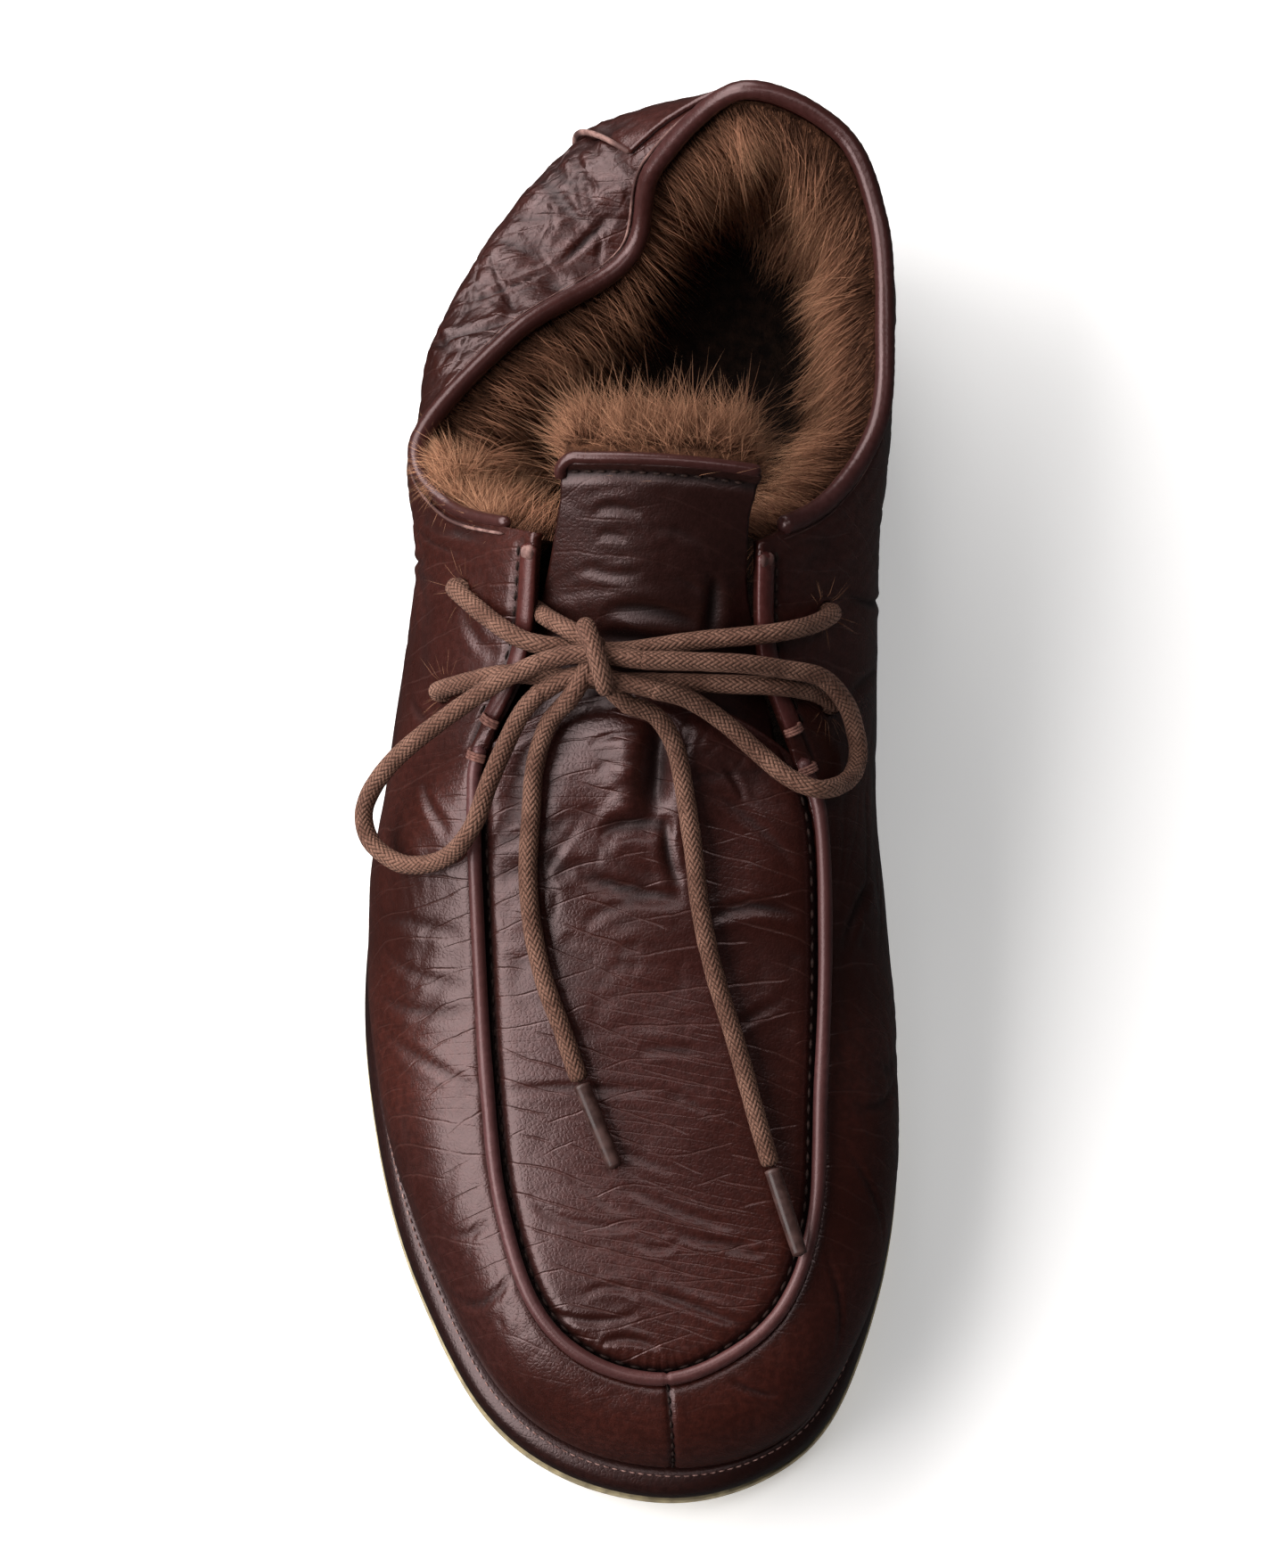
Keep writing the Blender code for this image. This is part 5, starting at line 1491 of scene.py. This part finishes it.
def lining_hairs(name, low, high, crowd, flow, tone, hairs, lengths, width, bent):
    """Hairs between two stations: they lie down the wall, swirl with a slow noise and gather in
    locks; crowd gathers their roots up the wall, flow is their lean towards the toe. Under the
    slumped collar they hang inwards instead, and those on the rim cover its edge."""
    column = (rng.uniform(low * CUTS, high * CUTS, hairs) - lining_columns[0]) / 2
    on_rim = (rng.uniform(0, 1, hairs) < RIM_SHARE)[:, None]
    row = (LINING_ROWS - 1) * np.where(on_rim[:, 0], 1.0, rng.uniform(0, 1, hairs) ** crowd)
    root = sample(lining_face, column, row)
    root = root + on_rim * rng.uniform(0, 0.9, (hairs, 1)) * (sample(lining, column, row) - root)
    inward = -unit(sample(lining_out, column, row))
    down, onward = sample(down_wall, column, row), sample(round_wall, column, row)
    into = plan_in[np.clip(np.rint(column).astype(int), 0, len(plan_in) - 1)]
    hang = within(lining_stations[0] + 2 * column / CUTS, HANG_FROM, HANG_TO, 0.5)[:, None]
    swirl = lattice_noise(root / 12.0 + 30, 18)[:, None]
    wave = lattice_noise(root / 8.0 + 80, 19)[:, None]
    way = inward * (0.7 + 0.35 * wave) + down * (0.75 + 0.3 * swirl) + onward * (flow + 0.9 * swirl)
    way = (1 - hang) * way + hang * (into * (1.0 + 0.4 * wave) - 0.25 * UP + 0.9 * swirl * onward)
    way = np.where(on_rim, 0.9 * into + 0.3 * UP + (flow + 0.7 * swirl) * onward, way)
    way = unit(way + rng.normal(0, 0.17, root.shape))
    locks = [np.clip((np.floor(at / LOCK) + 0.5) * LOCK, 0, size - 1.0)
             for at, size in ((column, len(lining_columns)), (row, LINING_ROWS))]
    length = rng.uniform(*lengths, hairs) * (1 + 0.4 * hang[:, 0])
    bend = np.where(on_rim, 0.0, (1 - hang) * 0.45) * down - (0.2 + 0.2 * hang + 0.3 * on_rim) * UP
    gather = (sample(lining_face, *locks) - root) / length[:, None]
    bend = bend + (0.6 - 0.3 * hang) * gather + 0.35 * wave * onward
    add_hairs(name, root, way, bend, length, rng.uniform(*width, hairs), tone, bent)


# The little-toe side's hairs have a higher range of tone than the big-toe side's: partly random tone,
# partly painted light that lifts the fur which the collar shades from the side lamp.
for side, low, high, crowd, flow, tone in (
    ("lateral", LINING_START, HEEL_STATION, 0.35, 0.0, (0.5, 1.3)),
    ("medial", HEEL_STATION, len(STATIONS) - CORNER - 0.15, 0.6, 0.7, (0.0, 1.1)),
):
    for kind, hairs in LINING_FUR.items():
        lining_hairs(kind + "_fur_" + side, low, high, crowd, flow, tone, *hairs)

# %% Fur over the collar
# How many, shortest and longest, thinnest and thickest, range of tone, bent or not
FRONT_FUR = {
    "long": (3200, (6.0, 10.0), (0.045, 0.09), (0.4, 1.2), True),
    "short": (6000, (4.0, 7.5), (0.06, 0.12), (0.2, 1.0), False),
}
OVERHANG, OVER_EDGE = 5.0, 2.2  # tips may reach so far out, if they stand so far above the edge


def headings(root, seed, size):
    """For each lock a heading of its own: the angle of a noise, as a cosine and a sine."""
    angle = 2 * np.pi * lattice_noise(root / size + 15, seed)[:, None]
    return np.cos(angle), np.sin(angle)


def front_hairs(name, hairs, lengths, width, tone, bent):
    """The bulging fur by the little-toe facing: hairs rise from the pile's rim and fan out in locks
    that head every way; those whose tips would come out through the leather are left away."""
    column = rng.uniform(0.35, 1.75, hairs) * CUTS / 2
    row = (LINING_ROWS - 1) * (1 - 0.3 * rng.uniform(0, 1, hairs) ** 2)
    root = sample(lining_face, column, row)
    root = root + rng.uniform(0, 0.8, (hairs, 1)) * (sample(lining, column, row) - root)
    onward = sample(round_wall, column, row)
    into = plan_in[np.clip(np.rint(column).astype(int), 0, len(plan_in) - 1)]
    c, s = headings(root, 26, 6.0)
    heading = np.clip(c, -0.85, 0.8) * into + np.clip(s, -0.4, 1) * onward
    way = unit(0.8 * UP + 0.6 * heading + rng.normal(0, 0.22, root.shape))
    bend = 0.45 * heading - 0.3 * UP + rng.normal(0, 0.15, root.shape)
    length = rng.uniform(*lengths, hairs)
    tip = root + length[:, None] * (way + bend)
    edge = TOP_EDGE[np.clip(lining_columns[0] + np.rint(2 * column).astype(int), 0, COLUMNS - 1)]
    outside = np.sum((edge - tip) * into, axis=1)
    keep = (outside < 0.0) | ((outside < OVERHANG) & (tip[:, 2] > edge[:, 2] + OVER_EDGE))
    add_hairs(
        name, root[keep], way[keep], bend[keep], length[keep], rng.uniform(*width, keep.sum()), tone, bent
    )


for kind, hairs in FRONT_FUR.items():
    front_hairs(kind + "_fur_front", *hairs)

# %% Tuft behind the tongue
# How many, shortest and longest, thinnest and thickest, range of tone, bent or not, curl
TUFT_FUR = {
    "long": (5600, (6.0, 11.0), (0.045, 0.085), (0.0, 0.7), True, 0.8),
    "short": (15000, (3.5, 7.5), (0.06, 0.11), (0.0, 0.6), False, 0.8),
    "loose": (260, (10.0, 16.0), (0.04, 0.06), (0.4, 1.0), True, 0.1),
}
TUFT_DEPTH = 9.0
TUFT_START = 71  # row of the tongue's grid where the fur behind it begins
TUFT_RISE = {-2: 3.0, -1: 5.0}  # how far the last rows stand up behind the tongue's edge
tuft_rows = slice(TUFT_START, None)
tuft = tongue[tuft_rows] - (TONGUE_THICKNESS + GAP) * tongue_normal[tuft_rows]
depth = TUFT_DEPTH * np.linspace(0.5, 1.0, tuft.shape[0])[:, None, None]
lumps = 1 + 0.2 * lattice_noise(tuft / 6.0 + 12, 20)[..., None]
tuft_back = tuft - depth * lumps * tongue_normal[tuft_rows]
for row, height in TUFT_RISE.items():
    tuft_back[row] += rise * height
add_shell("tongue_pile", tuft, tuft_back, PELT, "fur", ("tongue_fur",))


def tuft_hairs(name, hairs, lengths, width, tone, bent, curl):
    """Hairs from the pile behind the tongue: they rise behind its edge and curl every way."""
    column = rng.uniform(0.35, 1, hairs) ** 0.5 * (tuft.shape[0] - 1)
    row = rng.uniform(0.02, 0.98, hairs) * (TONGUE_ACROSS - 1)
    inside = rng.uniform(0.3, 1.0, hairs)[:, None]
    root = sample(tuft, column, row) * (1 - inside) + sample(tuft_back, column, row) * inside
    c, s = headings(root, 21, 5.0)
    heading = c * np.array((1.0, 0.0, 0.0)) + np.abs(s) * np.array((0.0, 0.8, 0.3))
    way = np.array((0.0, 0.45, 0.55)) + curl * heading
    way = unit(way + rng.normal(0, 0.22, root.shape))
    bend = curl * (0.5 * heading - np.array((0.0, -0.05, 0.5))) + rng.normal(0, 0.2, root.shape)
    length = rng.uniform(*lengths, hairs)
    add_hairs(name, root, way, bend, length, rng.uniform(*width, hairs), tone, bent)


for kind, hairs in TUFT_FUR.items():
    tuft_hairs(kind + "_fur_tongue", *hairs)

# %% Wisps at the lace holes
WISPS = 18  # at each hole
WISP_LENGTHS, WISP_WIDTHS, WISP_TONES = (2.0, 5.5), (0.04, 0.08), (0.0, 0.7)
centres = np.repeat([hole[0] for hole in HOLES.values()], WISPS, axis=0)
normals = np.repeat([hole[1] for hole in HOLES.values()], WISPS, axis=0)
apart = rng.normal(size=centres.shape)
apart = unit(apart - np.sum(apart * normals, axis=1, keepdims=True) * normals)
add_hairs(
    "lace_hole_wisps", centres - 1.0 * normals + 1.7 * apart, unit(0.8 * normals + 0.5 * apart),
    0.9 * apart - 0.25 * normals, rng.uniform(*WISP_LENGTHS, len(centres)),
    rng.uniform(*WISP_WIDTHS, len(centres)), WISP_TONES,
)

# %% Sock
SOCK_THICKNESS = 3.5
SOCK_LEVELS = ((0.0, 0.0), (0.0, 0.7), (1.0, 1.0))  # further inset, share of the thickness
under = SEAM_IN + WALL + 2 * GAP
rings = [
    outline(under + inset, lambda y, share=share: seam_height(y) + GAP + share * SOCK_THICKNESS)
    for inset, share in SOCK_LEVELS
]
# Painted shade: the sock wears the darkened pelt.
add_stack("fur_sock", rings, SOCK_PELT_PAINTED_SHADE, "fur", ("insole",), (2, 8))

# %% [markdown]
# ## Backstay and sewing
# A second piece of leather wraps the back of the heel, and its pale cut edge shows. All seams are
# sewn by machine, so a stitch is a small capsule that repeats along a seam with a fixed step.

# %% Backstay
STAY_CLEAR, STAY_THICKNESS = 0.15, 1.1
STAY_FIRST_ROW, STAY_TOP = 3, 0.94  # the top is a share of the wall's rows
stay = slice((HEEL_STATION - 1) * CUTS, (HEEL_STATION + 1) * CUTS + 1)
stay_rows = slice(STAY_FIRST_ROW, int(STAY_TOP * WALL_ROWS))
stay_normal = base_normal[stay, stay_rows]
stay_in = outer[stay, stay_rows] + STAY_CLEAR * stay_normal
stay_out = stay_in + STAY_THICKNESS * stay_normal
add_shell(
    "backstay_overlay", stay_out, stay_in, UPPER_LEATHER, "dark_leather", ("backstay",),
    {"trough": trough[stay, stay_rows]},
)
CUT_RISE, CUT_HALF_WIDTH, CUT_HALF_HEIGHT = 0.9, 0.55, 0.7
side = stay_normal[0]
edge = base[stay, stay_rows][0] + CUT_RISE * side
along = unit(np.gradient(edge, axis=0))
add_rolled(
    "backstay_raw_edge", edge, np.cross(along, side), side, CUT_HALF_WIDTH, CUT_HALF_HEIGHT,
    RAW_LEATHER, (), 10,
)


# %% Thread
def thread(name, low, high):
    """Waxed thread: a twist of two tones with a soft gloss."""
    made, tree, shader = new_finish(name, {"Roughness": 0.75, "Specular IOR Level": 0.2})
    coords = object_places(tree)
    twist = noise(tree, coords, 1500.0, 2.0)
    paint(tree, shader, blend_colours(tree, spread(tree, twist, 0.3, 0.7), low, high))
    return made


DARK_THREAD = thread("dark_thread", (0.008, 0.004, 0.003), (0.03, 0.014, 0.011))
PALE_THREAD = thread("pale_thread", (0.12, 0.055, 0.047), (0.4, 0.24, 0.21))
STITCH_RINGS, STITCH_SIDES = 5, 6


def add_stitches(name, line, up, step, length, radius, finish):
    """Capsules along a line: rings whose radius follows a half sine, arched by the same sine."""
    running = running_length(line)
    middle = np.arange(step / 2, running[-1], step)
    centre, up, way = (
        np.stack([np.interp(middle, running, axis) for axis in rows.T], axis=1)
        for rows in (line, up, np.gradient(line, axis=0))
    )
    way, up = unit(way), unit(up)
    side = np.cross(way, up)
    t = np.linspace(0, 1, STITCH_RINGS)
    size = radius * np.abs(np.sin(np.pi * t)) ** 0.5
    angle = 2 * np.pi * np.arange(STITCH_SIDES) / STITCH_SIDES
    spine = centre[:, None] + way[:, None] * ((t - 0.5) * length)[None, :, None]
    spine = spine + up[:, None] * (0.6 * radius * np.sin(np.pi * t))[None, :, None]
    ring = np.cos(angle)[None, :, None] * side[:, None] + np.sin(angle)[None, :, None] * up[:, None]
    points = spine[:, :, None] + size[None, :, None, None] * ring[:, None]
    quads, _ = grid_quads(STITCH_RINGS, STITCH_SIDES, over=True)
    first = STITCH_RINGS * STITCH_SIDES * np.arange(len(middle))[:, None, None]
    faces = (quads[None] + first).reshape(-1, 4)
    return add_piece(name, points.reshape(-1, 3), faces, finish, "piping", merge=True)


# %% Seams
# Step from stitch to stitch, length and radius of a stitch
APRON_STITCH, SOLE_STITCH, TOE_STITCH = (3.1, 2.5, 0.36), (1.7, 1.4, 0.15), (2.4, 1.7, 0.3)
FACING_STITCH, TONGUE_STITCH = (2.9, 2.2, 0.33), (2.6, 1.9, 0.3)
APRON_MIDDLE = np.array((2.0, -60.0, 50.0))
APRON_THREAD_IN, APRON_THREAD_UNDER = 1.75, 0.9  # from the seam, on the apron's side
FACING_THREAD_BELOW, FACING_THREAD_RISE = 3.6, 0.1  # from the leather's edge
place, away, normal, along = edge_frame(seam_columns)
inward = unit(np.cross(along, normal) * (1, 1, 0) + 1e-9)
faces_in = (inward * (APRON_MIDDLE - place)).sum(axis=1, keepdims=True) > 0
inward = np.where(faces_in, inward, -inward)
apron_line = place + APRON_THREAD_IN * inward - APRON_THREAD_UNDER * normal
add_stitches("apron_stitches", apron_line, normal, *APRON_STITCH, DARK_THREAD)
sole_line = SEAM + np.column_stack([SOLE_OUT * (0.25 * SEAM_IN + 0.15), np.full(COLUMNS, -0.2)])
sole_up = np.column_stack([SOLE_OUT, np.ones(COLUMNS)])
add_stitches("sole_stitches", sole_line, sole_up, *SOLE_STITCH, PALE_THREAD)
toe_up = base_normal[0, 4:-4]
add_stitches("toe_stitches", outer[0, 4:-4] + 0.35 * toe_up, toe_up, *TOE_STITCH, DARK_THREAD)
for name, columns in FACINGS.items():
    place, away, normal, along = edge_frame(columns)
    facing_line = place - FACING_THREAD_BELOW * away + FACING_THREAD_RISE * normal
    add_stitches("facing_stitches_" + name, facing_line, normal, *FACING_STITCH, DARK_THREAD)
row = int(np.argmin(np.abs(tongue[:, 0, 1] - TONGUE_SEAM_Y)))
tongue_up = tongue_normal[row, 3:-3]
tongue_line = tongue_outer[row, 3:-3] + 0.2 * tongue_up
add_stitches("tongue_stitches", tongue_line, tongue_up, *TONGUE_STITCH, DARK_THREAD)

# %% Bar tacks
TACK_TURNS, TURN_STEP = 3, 0.55
TACK_REACH, TACK_RADIUS = 1.95, 0.3  # of a turn over the piping, and of its thread
TACK_TAIL = (3.4, 0.6)  # how far a turn goes on over the wall, and under its face
TACK_STATIONS = {"lateral": (7.28, 6.83), "medial": (22.72, 23.17)}
TACK_THREAD = thread("tack_thread", (0.11, 0.045, 0.036), (0.26, 0.125, 0.1))
for name, stations in TACK_STATIONS.items():
    routes = []
    for at in stations:
        column = int(round(at * CUTS))
        place, away, normal, along = (rows[2] for rows in edge_frame(np.arange(column - 2, column + 3)))
        for turn in range(TACK_TURNS):
            start = place + along * (TURN_STEP * (turn - 1))
            arc = np.linspace(-0.35, 1.0, 9)[:, None] * np.pi
            over = np.cos(arc) * TACK_REACH * away + np.sin(arc) * TACK_REACH * normal
            over = start + normal * PIPING_RISE + over
            tail = start - TACK_TAIL[0] * away - TACK_TAIL[1] * normal
            routes.append(np.concatenate([[tail], over[::-1][:7]]))
    turns = []
    for route in routes:
        path, _ = even_steps(open_rail(route, 6), 0.3)
        _, side, up = path_frame(path)
        turns.append(rolled(path, side, up, TACK_RADIUS, TACK_RADIUS, 8))
    add_piece("bar_tack_" + name, *joined(turns), TACK_THREAD, "piping", merge=True)
